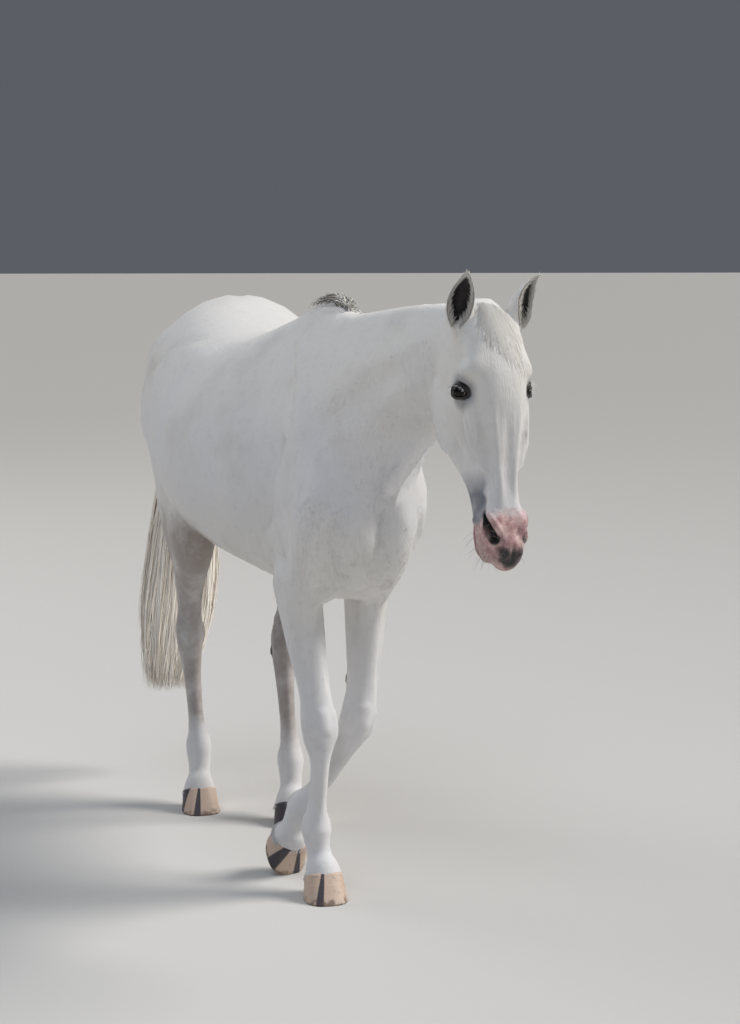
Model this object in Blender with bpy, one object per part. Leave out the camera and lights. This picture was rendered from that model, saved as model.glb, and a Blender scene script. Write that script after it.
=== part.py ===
"""A life-size walking horse: one body modelled whole, then parted into its regions by thin cuts.

Metres, +Z up. The horse faces -Y and its left side is +X. While it is modelled the withers stand over
x = y = 0; the last step moves the origin to the middle of its footprint.
"""
import math

import bmesh
import bpy
import numpy as np
from mathutils import Matrix, Vector

# ---------------------------------------------------------------- driving sizes
CUT = 0.0003            # gap between neighbouring solids
VOXEL = 0.010           # grain of the union of the flesh
BODY_TRIANGLES = 3700   # of all the flesh, before it is parted
SIDES = 32
SLIVER = 30             # a lump of fewer points is a chip left by the cuts

EYE_RADIUS = 0.0235
EAR_LENGTH = 0.138
EAR_THICK = 0.006
HOOF_LENGTH = 0.135      # toe to heel on the ground
HOOF_WIDTH = 0.120
TOE_HEIGHT = 0.078
TOE_RUN = 0.053         # how far the toe wall slopes back
HEEL_HEIGHT = 0.040
HEEL_RUN = 0.012
MANE_THICK = 0.018

# ---------------------------------------------------------------- pose: where each leg's joints stand
RIGHT_FORE = dict(shoulder=(-0.165, -0.290, 1.09), elbow=(-0.142, -0.08, 0.885), knee=(-0.093, -0.130, 0.475),
                  fetlock=(-0.092, -0.098, 0.185), toe=(-0.097, -0.235), turn=-7, pitch=0)
LEFT_FORE = dict(shoulder=(0.146, -0.275, 1.08), elbow=(0.090, -0.02, 0.875), knee=(0.044, -0.050, 0.468),
                 fetlock=(-0.086, 0.046, 0.205), toe=(-0.110, 0.080), turn=10, pitch=60)
RIGHT_HIND = dict(hip=(-0.125, 1.02, 1.24), stifle=(-0.205, 0.760, 0.930), hock=(-0.160, 0.990, 0.555),
                  fetlock=(-0.156, 0.908, 0.185), toe=(-0.183, 0.751), turn=-7, pitch=0)
LEFT_HIND = dict(hip=(0.125, 1.00, 1.24), stifle=(0.185, 0.690, 0.950), hock=(0.088, 0.750, 0.555),
                 fetlock=(0.072, 0.650, 0.185), toe=(0.050, 0.497), turn=-4, pitch=0)
LEGS = dict(right_fore=RIGHT_FORE, left_fore=LEFT_FORE, right_hind=RIGHT_HIND, left_hind=LEFT_HIND)

POLL = (0.088, -0.800, 1.625)
HEAD_TURN = math.radians(2.5)       # to the horse's left
HEAD_TILT = math.radians(9)         # muzzle forward
EYE = (0.085, -0.048, -0.199)       # in the head's frame
EAR = (0.069, -0.033, -0.050)

# ---------------------------------------------------------------- sections of the flesh
# station along the leg, then half-sizes to the front, the back, the outer side and the inner side
FORELEG = [
    (-0.20, .085, .11, .060, .060), (0.0, .085, .105, .066, .062), (0.25, .078, .090, .060, .058),
    (0.55, .062, .064, .052, .050), (0.80, .048, .048, .045, .045), (0.93, .050, .050, .051, .050),
    (1.02, .049, .052, .052, .051), (1.12, .043, .048, .046, .044), (1.25, .033, .042, .031, .030),
    (1.50, .030, .040, .0260, .0255), (1.75, .031, .041, .028, .0275), (1.90, .040, .047, .038, .038),
    (2.00, .043, .052, .042, .042), (2.20, .038, .046, .037, .037), (2.50, .036, .040, .036, .036),
    (2.75, .046, .050, .046, .046), (3.00, .052, .054, .053, .053), (3.60, .052, .054, .053, .053)]
HINDLEG = [
    (0.95, .10, .15, .085, .085), (1.15, .085, .130, .075, .072), (1.35, .070, .100, .060, .058),
    (1.60, .055, .062, .046, .046), (1.80, .050, .050, .038, .038), (1.92, .056, .058, .044, .043),
    (2.02, .055, .064, .047, .045), (2.12, .049, .058, .043, .041), (2.28, .038, .048, .032, .032),
    (2.50, .031, .040, .027, .026), (2.75, .032, .040, .028, .0275), (2.90, .042, .048, .038, .038),
    (3.00, .044, .054, .041, .041), (3.20, .038, .048, .037, .037), (3.50, .036, .040, .036, .036),
    (3.75, .045, .049, .045, .045), (4.00, .051, .053, .052, .052), (4.60, .051, .053, .052, .052)]

# y, height of the top and bottom lines, half-width, height of the widest part, squareness above and below
TRUNK = [
    (-0.385, 1.135, 1.020, .060, 1.08, 2.0, 1.8),
    (-0.360, 1.200, 0.950, .112, 1.09, 2.0, 1.6),
    (-0.310, 1.290, 0.890, .148, 1.10, 2.0, 1.6),
    (-0.200, 1.450, 0.835, .176, 1.11, 1.9, 1.8),
    (-0.130, 1.590, 0.820, .192, 1.11, 1.6, 2.1),
    (-0.040, 1.652, 0.818, .215, 1.12, 1.45, 2.2),
    (0.080, 1.634, 0.820, .252, 1.13, 1.5, 2.2),
    (0.220, 1.588, 0.828, .300, 1.14, 1.8, 2.2),
    (0.360, 1.550, 0.842, .340, 1.15, 2.1, 2.2),
    (0.520, 1.540, 0.858, .362, 1.16, 2.2, 2.2),
    (0.660, 1.563, 0.890, .356, 1.17, 2.2, 2.1),
    (0.780, 1.605, 0.940, .330, 1.20, 2.1, 2.1),
    (0.890, 1.640, 0.990, .312, 1.23, 2.1, 2.0),
    (1.000, 1.636, 1.010, .306, 1.24, 2.1, 2.0),
    (1.100, 1.602, 1.020, .292, 1.24, 2.1, 2.0),
    (1.190, 1.545, 1.040, .258, 1.25, 2.1, 2.0),
    (1.260, 1.475, 1.090, .200, 1.26, 2.1, 2.0),
    (1.300, 1.400, 1.170, .120, 1.28, 2.1, 2.0)]

# station, crest y and z, underside y and z, sideways place, half-width, squareness above
NECK = [
    (0.0, 0.12, 1.53, -0.16, 0.93, 0.000, .145, 1.5),
    (0.2, -0.02, 1.608, -0.29, 1.00, 0.000, .152, 1.5),
    (0.4, -0.20, 1.612, -0.385, 1.09, 0.005, .130, 1.6),
    (0.6, -0.40, 1.632, -0.49, 1.195, 0.026, .104, 1.7),
    (0.8, -0.60, 1.644, -0.600, 1.295, 0.056, .084, 1.8),
    (1.0, -0.78, 1.625, -0.670, 1.350, 0.086, .072, 2.0)]

# head's own frame: distance below the poll, face line, jaw line, half-width in front, half-width at the jaw
HEAD = [
    (-0.025, -0.020, 0.070, .035, .035),
    (0.000, -0.050, 0.120, .060, .052),
    (0.050, -0.090, 0.165, .076, .064),
    (0.110, -0.116, 0.190, .086, .070),
    (0.170, -0.129, 0.202, .091, .074),
    (0.220, -0.130, 0.206, .088, .075),
    (0.270, -0.124, 0.200, .076, .070),
    (0.320, -0.116, 0.175, .064, .060),
    (0.370, -0.108, 0.130, .055, .050),
    (0.430, -0.102, 0.082, .048, .044),
    (0.490, -0.101, 0.058, .050, .044),
    (0.540, -0.103, 0.052, .056, .047),
    (0.580, -0.092, 0.042, .050, .044),
    (0.606, -0.064, 0.012, .036, .034)]


# ---------------------------------------------------------------- shape helpers
def through(rows, count):
    """Rows led by their station, read at even stations from a smooth curve through them."""
    rows = np.array(rows, float)
    at = rows[:, 0]
    slope = np.gradient(rows, at, axis=0)
    want = np.linspace(at[0], at[-1], count)
    i = np.clip(np.searchsorted(at, want) - 1, 0, len(at) - 2)
    gap = (at[i + 1] - at[i])[:, None]
    u = (want - at[i])[:, None] / gap
    return ((2 * u**3 - 3 * u**2 + 1) * rows[i] + (u**3 - 2 * u**2 + u) * gap * slope[i]
            + (3 * u**2 - 2 * u**3) * rows[i + 1] + (u**3 - u**2) * gap * slope[i + 1])


def unit(v):
    return v / np.linalg.norm(v, axis=-1, keepdims=True)


def as_object(bm, name):
    bmesh.ops.recalc_face_normals(bm, faces=bm.faces)
    mesh = bpy.data.meshes.new(name)
    bm.to_mesh(mesh)
    bm.free()
    obj = bpy.data.objects.new(name, mesh)
    bpy.context.scene.collection.objects.link(obj)
    return obj


def tube(name, rings):
    """A closed solid from an array of rings (rings x sides x 3), with a fan over each end."""
    rings = np.asarray(rings)
    sides = rings.shape[1]
    first = np.repeat(rings[:1].mean(1, keepdims=True), sides, axis=1)
    last = np.repeat(rings[-1:].mean(1, keepdims=True), sides, axis=1)
    grid = np.concatenate([first, rings, last])
    grid = np.concatenate([grid, grid[:, :1]], axis=1)
    bm = bmesh.new()
    made = bmesh.ops.create_grid(bm, x_segments=grid.shape[1] - 1, y_segments=grid.shape[0] - 1, size=1)
    for vert, place in zip(made["verts"], grid.reshape(-1, 3)):
        vert.co = place
    bmesh.ops.remove_doubles(bm, verts=bm.verts, dist=1e-6)
    return as_object(bm, name)


def oval(right, left, top, bottom, square_top=2.0, square_bottom=2.0, sides=SIDES):
    """Points of an oval of four half-sizes; its squareness is 2 for an ellipse and more for a boxier one."""
    turn = np.linspace(0, 2 * math.pi, sides, endpoint=False)
    c, s = np.cos(turn), np.sin(turn)
    power = np.where(s > 0, 2 / square_top, 2 / square_bottom)
    across = np.sign(c) * np.abs(c) ** power * np.where(c > 0, right, left)
    up = np.sign(s) * np.abs(s) ** power * np.where(s > 0, top, bottom)
    return np.stack([across, up], axis=1)


def plate(name, outer, inner):
    """A closed leaf between two grids of points of one size."""
    rows, columns = outer.shape[:2]
    bm = bmesh.new()
    face = [[bm.verts.new(p) for p in row] for row in outer]
    back = [[bm.verts.new(p) for p in row] for row in inner]
    for i in range(rows - 1):
        for j in range(columns - 1):
            bm.faces.new((face[i][j], face[i][j + 1], face[i + 1][j + 1], face[i + 1][j]))
            bm.faces.new((back[i][j], back[i + 1][j], back[i + 1][j + 1], back[i][j + 1]))
    rim = ([(0, j) for j in range(columns - 1)] + [(i, columns - 1) for i in range(rows - 1)]
           + [(rows - 1, j) for j in range(columns - 1, 0, -1)] + [(i, 0) for i in range(rows - 1, 0, -1)])
    for (i, j), (p, q) in zip(rim, rim[1:] + rim[:1]):
        bm.faces.new((face[p][q], face[i][j], back[i][j], back[p][q]))
    return as_object(bm, name)


def limb(name, joints, sections, count=70):
    """A leg's flesh: sections strung along a smooth line through its joints."""
    sections = through(sections, count)
    line = through([(k, *p) for k, p in enumerate(joints)], 40 * (len(joints) - 1) + 1)
    centre = np.stack([np.interp(sections[:, 0], line[:, 0], line[:, k]) for k in (1, 2, 3)], axis=1)
    along = unit(np.gradient(centre, axis=0))
    outward = np.array([math.copysign(1, joints[0][0]), 0, 0])
    front = unit(np.cross(outward * outward[0], along))
    out = unit(np.cross(along, front)) * outward[0]
    rings = []
    for k, (_, fore, back, outer, inner) in enumerate(sections):
        flat = oval(outer, inner, fore, back)
        rings.append(centre[k] + flat[:, :1] * out[k] + flat[:, 1:] * front[k])
    return tube(name, rings)


def muscle(name, start, end, width, depth, facing):
    """A spindle of flesh from start to end, depth thick along facing and width across."""
    start, end, facing = Vector(start), Vector(end), Vector(facing)
    along = end - start
    facing -= along * (facing.dot(along) / along.length_squared)
    facing.normalize()
    across = along.normalized().cross(facing)
    bm = bmesh.new()
    bmesh.ops.create_icosphere(bm, subdivisions=3, radius=1)
    axes = Matrix((along / 2, across * width / 2, facing * depth / 2)).transposed().to_4x4()
    bmesh.ops.transform(bm, matrix=Matrix.Translation((start + end) / 2) @ axes, verts=bm.verts)
    return as_object(bm, name)


def mix(a, b, share):
    return tuple(p + (q - p) * share for p, q in zip(a, b))


def off(p, dx, dy, dz):
    return (p[0] + dx, p[1] + dy, p[2] + dz)


# ---------------------------------------------------------------- the flesh
def trunk():
    rings = []
    for y, top, bottom, half, waist, above, below in through(TRUNK, 80):
        flat = oval(half, half, top - waist, waist - bottom, above, below)
        rings.append(np.stack([flat[:, 0], np.full(SIDES, y), flat[:, 1] + waist], axis=1))
    return tube("trunk_flesh", rings)


def neck_rings(swell=0.0):
    rings = []
    for _, crest_y, crest_z, under_y, under_z, x, half, square in through(NECK, 50):
        crest, under = np.array([x, crest_y, crest_z]), np.array([x, under_y, under_z])
        size = np.linalg.norm(crest - under) / 2
        up = (crest - under) / 2 / size
        flat = oval(half + swell, half + swell, size + swell, size + swell, square, 2.0)
        rings.append((crest + under) / 2 + flat[:, :1] * np.array([1, 0, 0]) + flat[:, 1:] * up)
    return np.array(rings)


def head_place():
    return (Matrix.Translation(POLL) @ Matrix.Rotation(HEAD_TURN, 4, "Z")
            @ Matrix.Rotation(-HEAD_TILT, 4, "X"))


def head_rings(swell=0.0):
    """The head in its own frame: +X its left, -Y out of the face, +Z up to the poll."""
    rings = []
    for down, face, jaw, wide, narrow in through(HEAD, 70):
        middle, deep = (face + jaw) / 2, (jaw - face) / 2
        flat = oval(1, 1, deep + swell, deep + swell, 2.7, 2.3)
        share = np.clip(0.5 - flat[:, 1] / deep / 2, 0, 1)
        half = wide + (narrow - wide) * share + swell
        rings.append(np.stack([flat[:, 0] * half, middle - flat[:, 1], np.full(SIDES, -down)], axis=1))
    return np.array(rings)


def head():
    pieces = [tube("head_flesh", head_rings())]
    for s in (-1, 1):
        pieces += [
            muscle("cheek", (s * .060, .03, -.12), (s * .052, .10, -.345), .22, .056, (s, 0, 0)),
            muscle("brow", (s * .060, -.110, -.125), (s * .078, -.050, -.180), .070, .046, (s, -1, 0)),
            muscle("cheekbone", (s * .076, -.065, -.190), (s * .046, -.070, -.400), .045, .034, (s, 0, 0)),
            muscle("nostril", (s * .026, -.078, -.470), (s * .042, -.078, -.562), .060, .044, (s, -.6, 0)),
            muscle("temple", (s * .026, -.050, -.010), (s * .058, -.092, -.150), .080, .060, (s, -1, 0)),
        ]
    pieces.append(muscle("chin", (0, .000, -.535), (0, .044, -.585), .070, .070, (1, 0, 0)))
    pieces.append(muscle("upper_lip", (0, -.095, -.530), (0, -.040, -.624), .080, .085, (1, 0, 0)))
    for piece in pieces:
        piece.data.transform(head_place())
    return pieces


def hoof_place(j):
    """The hoof's frame: origin at the toe on the ground, -Y forward, tipped onto the toe by its pitch."""
    return (Matrix.Translation((*j["toe"], 0)) @ Matrix.Rotation(math.radians(j["turn"]), 4, "Z")
            @ Matrix.Rotation(math.radians(j["pitch"]), 4, "X"))


def coronet_line(j):
    """The middle of the hoof's top, and a point inside the hoof that the leg runs on to."""
    middle = Vector((0, (TOE_RUN + HOOF_LENGTH + HEEL_RUN) / 2, (TOE_HEIGHT + HEEL_HEIGHT) / 2))
    return [tuple(hoof_place(j) @ middle), tuple(hoof_place(j) @ (middle - Vector((0, 0.03, 0.09))))]


def forequarter(j, name):
    """Shoulder blade, upper arm, triceps and breast muscles, and the leg down into its hoof."""
    shoulder, elbow = j["shoulder"], j["elbow"]
    s = math.copysign(1, shoulder[0])
    out = (s, 0, 0)
    arm = [mix(shoulder, elbow, 0.4), elbow, j["knee"], j["fetlock"], *coronet_line(j)]
    return [
        limb(name + "_leg", arm, [(row[0] + 1, *row[1:]) for row in FORELEG]),
        muscle("blade", (s * .075, .03, 1.50), off(shoulder, -s * .01, .01, .02), .25, .11, (s, 0, .15)),
        muscle("triceps", (s * .150, .11, 1.34), off(elbow, s * .004, .03, 0), .26, .12, out),
        muscle("arm", off(shoulder, -s * .014, -.02, .10), off(elbow, -s * .016, -.02, -.10), .17, .115, out),
        muscle("point", off(shoulder, -s * .03, -.02, .13), off(shoulder, -s * .05, .03, -.13),
               .14, .13, out),
        muscle("breast", (s * .084, -.285, 1.17), (s * .045, -.25, .86), .13, .19, (0, -1, 0)),
        muscle("girdle", (s * .07, -.25, .98), off(elbow, -s * .02, -.02, -.06), .14, .13, (0, -1, 0)),
    ]


def hindquarter(j, name):
    """Rump, thigh, hamstring and gaskin muscles, the point of the hock, and the leg down into its hoof."""
    stifle, hock = j["stifle"], j["hock"]
    s = math.copysign(1, j["hip"][0])
    out = (s, 0, 0)
    gaskin = mix(stifle, hock, 0.5)
    leg = [j["hip"], off(stifle, -s * .02, .09, 0), hock, j["fetlock"], *coronet_line(j)]
    return [
        limb(name + "_leg", leg, HINDLEG),
        muscle("rump", (s * .160, .78, 1.46), (s * .135, 1.23, 1.40), .27, .24, (0, 0, 1)),
        muscle("buttock", (s * .110, 1.15, 1.47), (s * .125, 1.14, 1.03), .24, .20, out),
        muscle("thigh", (s * .185, 1.06, 1.47), off(stifle, -s * .010, .03, -.03), .38, .22, out),
        muscle("ham", (s * .140, 1.17, 1.48), off(gaskin, 0, .03, 0), .27, .20, out),
        muscle("inner", (s * .07, 1.08, 1.25), off(gaskin, -s * .01, .02, .06), .32, .15, out),
        muscle("knee_cap", off(stifle, 0, .02, .13), off(stifle, -s * .01, .04, -.11), .17, .13, out),
        muscle("flank", (s * .24, .70, 1.20), off(stifle, -s * .03, -.01, .02), .16, .07, out),
        muscle("tendon", off(gaskin, 0, .05, 0), off(hock, 0, .066, .05), .045, .035, out),
        muscle("heel", off(hock, 0, .058, .090), off(hock, 0, .03, -.07), .06, .05, out),
    ]


def flesh_pieces():
    pieces = [trunk(), tube("neck_flesh", neck_rings())]
    pieces += head()
    pieces += forequarter(RIGHT_FORE, "right_fore") + forequarter(LEFT_FORE, "left_fore")
    pieces += hindquarter(RIGHT_HIND, "right_hind") + hindquarter(LEFT_HIND, "left_hind")
    return pieces


def joined(pieces, name):
    bm = bmesh.new()
    for piece in pieces:
        bm.from_mesh(piece.data)
        bpy.data.objects.remove(piece)
    mesh = bpy.data.meshes.new(name)
    bm.to_mesh(mesh)
    bm.free()
    obj = bpy.data.objects.new(name, mesh)
    bpy.context.scene.collection.objects.link(obj)
    return obj


def settled(obj):
    """The object with its modifiers made part of its mesh."""
    graph = bpy.context.evaluated_depsgraph_get()
    mesh = bpy.data.meshes.new_from_object(obj.evaluated_get(graph))
    obj.modifiers.clear()
    obj.data = mesh
    return obj


def relax(obj, rounds, weight, pull_back=0.0):
    """Evens the surface: each point moves towards the mean of its neighbours by its weight."""
    mesh = obj.data
    count = len(mesh.vertices)
    places = np.empty(count * 3)
    mesh.vertices.foreach_get("co", places)
    places = places.reshape(-1, 3)
    edges = np.empty(len(mesh.edges) * 2, int)
    mesh.edges.foreach_get("vertices", edges)
    a, b = edges.reshape(-1, 2).T
    near = np.bincount(np.concatenate([a, b]), minlength=count)[:, None]
    share = weight(places)[:, None] if callable(weight) else weight
    for _ in range(rounds):
        for step in ((1.0, -pull_back) if pull_back else (1.0,)):
            total = np.zeros_like(places)
            for k in range(3):
                total[:, k] = (np.bincount(a, places[b, k], count) + np.bincount(b, places[a, k], count))
            places = places + (total / near - places) * share * step
    mesh.vertices.foreach_set("co", places.ravel())
    mesh.update()


def body_mass_share(places):
    """1 on the trunk and the thick of the neck, 0 on the head and the lower legs."""
    legs = np.clip((places[:, 2] - 0.80) / 0.15, 0, 1)
    head_side = np.clip((places[:, 1] + 0.70) / 0.12, 0, 1)
    return 0.6 * legs * head_side


def flesh(voxel=VOXEL):
    body = joined(flesh_pieces(), "body")
    skin = body.modifiers.new("union", "REMESH")
    skin.mode = "VOXEL"
    skin.voxel_size = voxel
    settled(body)
    relax(body, round(40 * (0.01 / voxel) ** 2), body_mass_share)
    relax(body, 5, 0.5)
    relax(body, 5, 0.5, 1.03)
    return body


# ---------------------------------------------------------------- cutting and clearing
def cut_by(obj, cutter):
    """The object less the cutter, which is used up."""
    less = obj.modifiers.new("less", "BOOLEAN")
    less.operation = "DIFFERENCE"
    less.solver = "EXACT"
    less.object = cutter
    settled(obj)
    bpy.data.objects.remove(cutter)
    return obj


def swollen(obj, by):
    """A copy of the object, a little larger all over."""
    copy = obj.copy()
    copy.data = obj.data.copy()
    bpy.context.scene.collection.objects.link(copy)
    normals = [vert.normal.copy() for vert in copy.data.vertices]
    for vert, normal in zip(copy.data.vertices, normals):
        vert.co += normal * by
    return copy


def block(place, size):
    bm = bmesh.new()
    bmesh.ops.create_cube(bm, size=1, matrix=place @ Matrix.Diagonal((*size, 1)))
    return as_object(bm, "block")


def slab(centre, normal, reach_across, reach_along):
    """A block as thin as the cut, square to normal; across lies along X as nearly as it can."""
    normal = Vector(normal).normalized()
    across = (Vector((1, 0, 0)) - normal * normal.x).normalized()
    along = normal.cross(across)
    place = Matrix.Translation(centre) @ Matrix((across, along, normal)).transposed().to_4x4()
    return block(place, (2 * reach_across, 2 * reach_along, CUT))


def bone_slab(start, end, share, reach):
    return slab(mix(start, end, share), Vector(end) - Vector(start), reach, reach)


def leg_slabs(name, j):
    s = -1 if name.startswith("right") else 1
    if "elbow" in j:
        return [
            slab((s * .14, -0.06, 0.857), (-s * .433, 0, .90), .155, .22),
            bone_slab(j["elbow"], j["knee"], 0.86, .085),
            bone_slab(j["knee"], j["fetlock"], 0.17, .075),
            bone_slab(j["knee"], j["fetlock"], 0.86, .070),
        ]
    low, back, out = Vector((0, 0.70, 0.880)), Vector((0, 1.15, 0.975)), Vector((s * .30, 0.90, 1.10))
    groin = (back - low).cross(out - low) * s
    return [
        slab(low + (back - low) * 0.62 + Vector((s * .21, 0, .136)), groin, .235, .46),
        slab(mix(off(j["stifle"], 0, 0.08, 0), j["hock"], 0.24), (0, -.30, .95), .17, .31),
        bone_slab(j["stifle"], j["hock"], 0.80, .115),
        bone_slab(j["hock"], j["fetlock"], 0.20, .075),
        bone_slab(j["hock"], j["fetlock"], 0.88, .070),
    ]


def body_slabs():
    return [
        slab((0.06, -0.690, 1.490), (0, .960, .275), .20, .26),
        slab((0.02, -0.270, 1.370), (0, .877, -.480), .34, .43),
        slab((0.00, 0.165, 1.250), (0, 1, 0), .45, .50),
        slab((0.00, 0.595, 1.300), (0, 1, 0), .45, .48),
    ]


def parted(body, seeds):
    """The body's separate lumps as objects, each named by the nearest seed; slivers are dropped."""
    bm = bmesh.new()
    bm.from_mesh(body.data)
    bpy.data.objects.remove(body)
    seen = set()
    found = {}
    for start in bm.verts:
        if start in seen:
            continue
        seen.add(start)
        lump = [start]
        for vert in lump:
            for edge in vert.link_edges:
                other = edge.other_vert(vert)
                if other not in seen:
                    seen.add(other)
                    lump.append(other)
        if len(lump) < SLIVER:
            continue
        number = {vert: k for k, vert in enumerate(lump)}
        faces = {face for vert in lump for face in vert.link_faces}
        mesh = bpy.data.meshes.new("lump")
        mesh.from_pydata([vert.co for vert in lump], [],
                         sorted([number[v] for v in face.verts] for face in faces))
        middle = sum((vert.co for vert in lump), Vector()) / len(lump)
        name = min(seeds, key=lambda key: (Vector(seeds[key]) - middle).length)
        if name not in found or len(found[name].data.vertices) < len(lump):
            if name in found:
                bpy.data.objects.remove(found[name])
            found[name] = bpy.data.objects.new(name, mesh)
            found[name].name = name
            bpy.context.scene.collection.objects.link(found[name])
    bm.free()
    return found


def seeds():
    """A point within each region of the parted body."""
    points = dict(head=(.09, -.90, 1.38), neck=(.03, -.45, 1.45), chest=(0, -.05, 1.22),
                  barrel=(0, .38, 1.20), hindquarters=(0, 1.0, 1.35))
    for name, j in LEGS.items():
        upper, middle = ("elbow", "knee") if "elbow" in j else ("stifle", "hock")
        if upper == "stifle":
            points[name + "_thigh"] = off(j["stifle"], 0, 0.10, 0.02)
        points[name + ("_forearm" if upper == "elbow" else "_gaskin")] = mix(j[upper], j[middle], 0.55)
        points[name + "_" + middle] = j[middle]
        points[name + "_cannon"] = mix(j[middle], j["fetlock"], 0.55)
        points[name + "_pastern"] = mix(j["fetlock"], coronet_line(j)[0], 0.5)
    return points


# ---------------------------------------------------------------- hooves, eyes, ears and hair
def hoof(name, j):
    """A horn box, wider at the ground; the foot that is on its toe has a small flat where it touches."""
    rings = []
    for up, spread in ((0, 0.90), (0, 1), (0.5, 1), (1, 1)):
        front = TOE_RUN * up
        back = HOOF_LENGTH + HEEL_RUN * up
        half = HOOF_WIDTH / 2 - 0.008 * up
        flat = oval(half, half, (back - front) / 2, (back - front) / 2, 2.0, 2.6, 20)[::-1] * spread
        share = np.clip(0.5 + flat[:, 1] / (back - front), 0, 1)
        high = up * (TOE_HEIGHT + (HEEL_HEIGHT - TOE_HEIGHT) * share)
        rings.append(np.stack([flat[:, 0], (front + back) / 2 + flat[:, 1], high], axis=1))
    obj = tube(name, rings)
    lift = 0.003 if j["pitch"] else 0
    obj.data.transform(Matrix.Translation((0, 0, -lift)) @ hoof_place(j))
    if lift:
        ground = Matrix.Translation((*j["toe"], -0.05))
        cut_by(obj, block(ground, (0.3, 0.3, 0.1)))
    return obj


def coronet_block(j):
    """All that lies below the plane of the hoof's top, near the hoof."""
    slope = math.atan2(TOE_HEIGHT - HEEL_HEIGHT, HOOF_LENGTH + HEEL_RUN - TOE_RUN)
    middle = Vector((0, (TOE_RUN + HOOF_LENGTH + HEEL_RUN) / 2, (TOE_HEIGHT + HEEL_HEIGHT) / 2 + CUT))
    place = hoof_place(j) @ Matrix.Translation(middle) @ Matrix.Rotation(-slope, 4, "X")
    return block(place @ Matrix.Translation((0, 0, -0.08)), (0.18, 0.20, 0.16))


def eye(name, s):
    bm = bmesh.new()
    bmesh.ops.create_uvsphere(bm, u_segments=12, v_segments=8, radius=EYE_RADIUS)
    obj = as_object(bm, name)
    obj.data.transform(head_place() @ Matrix.Translation((s * EYE[0], EYE[1], EYE[2])))
    return obj


def ear(name, s):
    """A rolled leaf: closed at its foot, open forward and outward, and drawn to a point."""
    rows, columns = 9, 9
    outer, inner = [], []
    for t in np.linspace(0, 1, rows):
        wide = np.interp(t, (0, .25, .55, .8, .93, 1), (.024, .033, .031, .021, .012, .004))
        roll = math.radians(np.interp(t, (0, .25, .6, 1), (150, 118, 88, 50)))
        turn = np.linspace(-roll, roll, columns)
        bend = 0.022 * t * t
        ring = np.stack([np.sin(turn), np.cos(turn)], axis=1)
        high = np.full((columns, 1), EAR_LENGTH * t)
        for grid, radius in ((outer, wide), (inner, max(wide - EAR_THICK, 0.001))):
            flat = ring * radius + np.array([0, -bend])
            grid.append(np.concatenate([flat, high], axis=1))
    obj = plate(name, np.array(outer), np.array(inner))
    lean, splay, twist = math.radians(14), math.radians(9 + s * 5), math.radians(s * 28)
    stand = (Matrix.Translation((s * EAR[0], EAR[1], EAR[2])) @ Matrix.Rotation(lean, 4, "X")
             @ Matrix.Rotation(splay, 4, "Y") @ Matrix.Rotation(twist, 4, "Z"))
    obj.data.transform(head_place() @ stand)
    return obj


def around(ring, column):
    """Points of a ring at places between its own, counted round it."""
    low, share = column.astype(int), (column % 1)[:, None]
    return ring[low] * (1 - share) + ring[low + 1] * share


def mane():
    """The fall of hair on the left of the crest, from the poll to the withers."""
    bare, outside, inside = neck_rings(), neck_rings(MANE_THICK), neck_rings(-0.02)
    lift = np.linspace(0.25, 1, 7)[:, None]
    outer, inner = [], []
    for k in range(11, 48, 3):
        fall = np.interp(k, (11, 18, 40, 47), (2, 7, 8, 5))
        column = 9 - np.linspace(0, fall, 7)
        outer.append(around(bare[k], column) * (1 - lift) + around(outside[k], column) * lift)
        inner.append(around(inside[k], column))
    return plate("mane", np.array(outer), np.array(inner))


def forelock():
    """The lock between the ears that lies down the forehead."""
    bare, outside, inside = head_rings(), head_rings(0.016), head_rings(-0.02)
    outer, inner = [], []
    for k in range(2, 24, 3):
        half = np.interp(k, (2, 8, 14, 22), (1.1, 1.2, 2.4, 1.0))
        column = 8 + np.linspace(-half, half, 6)
        lift = np.interp(k, (2, 16, 22), (1, 1, .3))
        outer.append(around(bare[k], column) * (1 - lift) + around(outside[k], column) * lift)
        inner.append(around(inside[k], column))
    obj = plate("forelock", np.array(outer), np.array(inner))
    obj.data.transform(head_place())
    return obj


# along the tail: middle x, y, z, half-width, half-depth
TAIL = [
    (0, 0.00, 1.255, 1.490, .030, .030), (1, 0.00, 1.330, 1.450, .042, .040),
    (2, -0.02, 1.375, 1.330, .058, .046), (3, -0.05, 1.375, 1.120, .085, .050),
    (4, -0.075, 1.350, 0.880, .110, .050), (5, -0.090, 1.330, 0.640, .125, .045),
    (6, -0.102, 1.320, 0.450, .105, .035), (7, -0.112, 1.320, 0.300, .050, .018)]


def tail():
    rings = []
    rows = through(TAIL, 17)
    along = unit(np.gradient(rows[:, 1:4], axis=0))
    for (_, x, y, z, wide, deep), way in zip(rows, along):
        back = unit(np.cross(way, np.array([1.0, 0, 0])))
        flat = oval(wide, wide, deep, deep, sides=12)
        rings.append(np.array([x, y, z]) + flat[:, :1] * np.array([1, 0, 0]) + flat[:, 1:] * back)
    return tube("tail", rings)


# ---------------------------------------------------------------- finish
def paint(obj, colour, roughness):
    material = bpy.data.materials.new(obj.name)
    material.use_nodes = True
    shader = material.node_tree.nodes["Principled BSDF"]
    shader.inputs["Base Color"].default_value = (*colour, 1)
    shader.inputs["Roughness"].default_value = roughness
    shader.inputs["Metallic"].default_value = 0
    obj.data.materials.clear()
    obj.data.materials.append(material)
    obj.data.shade_smooth()


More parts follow.
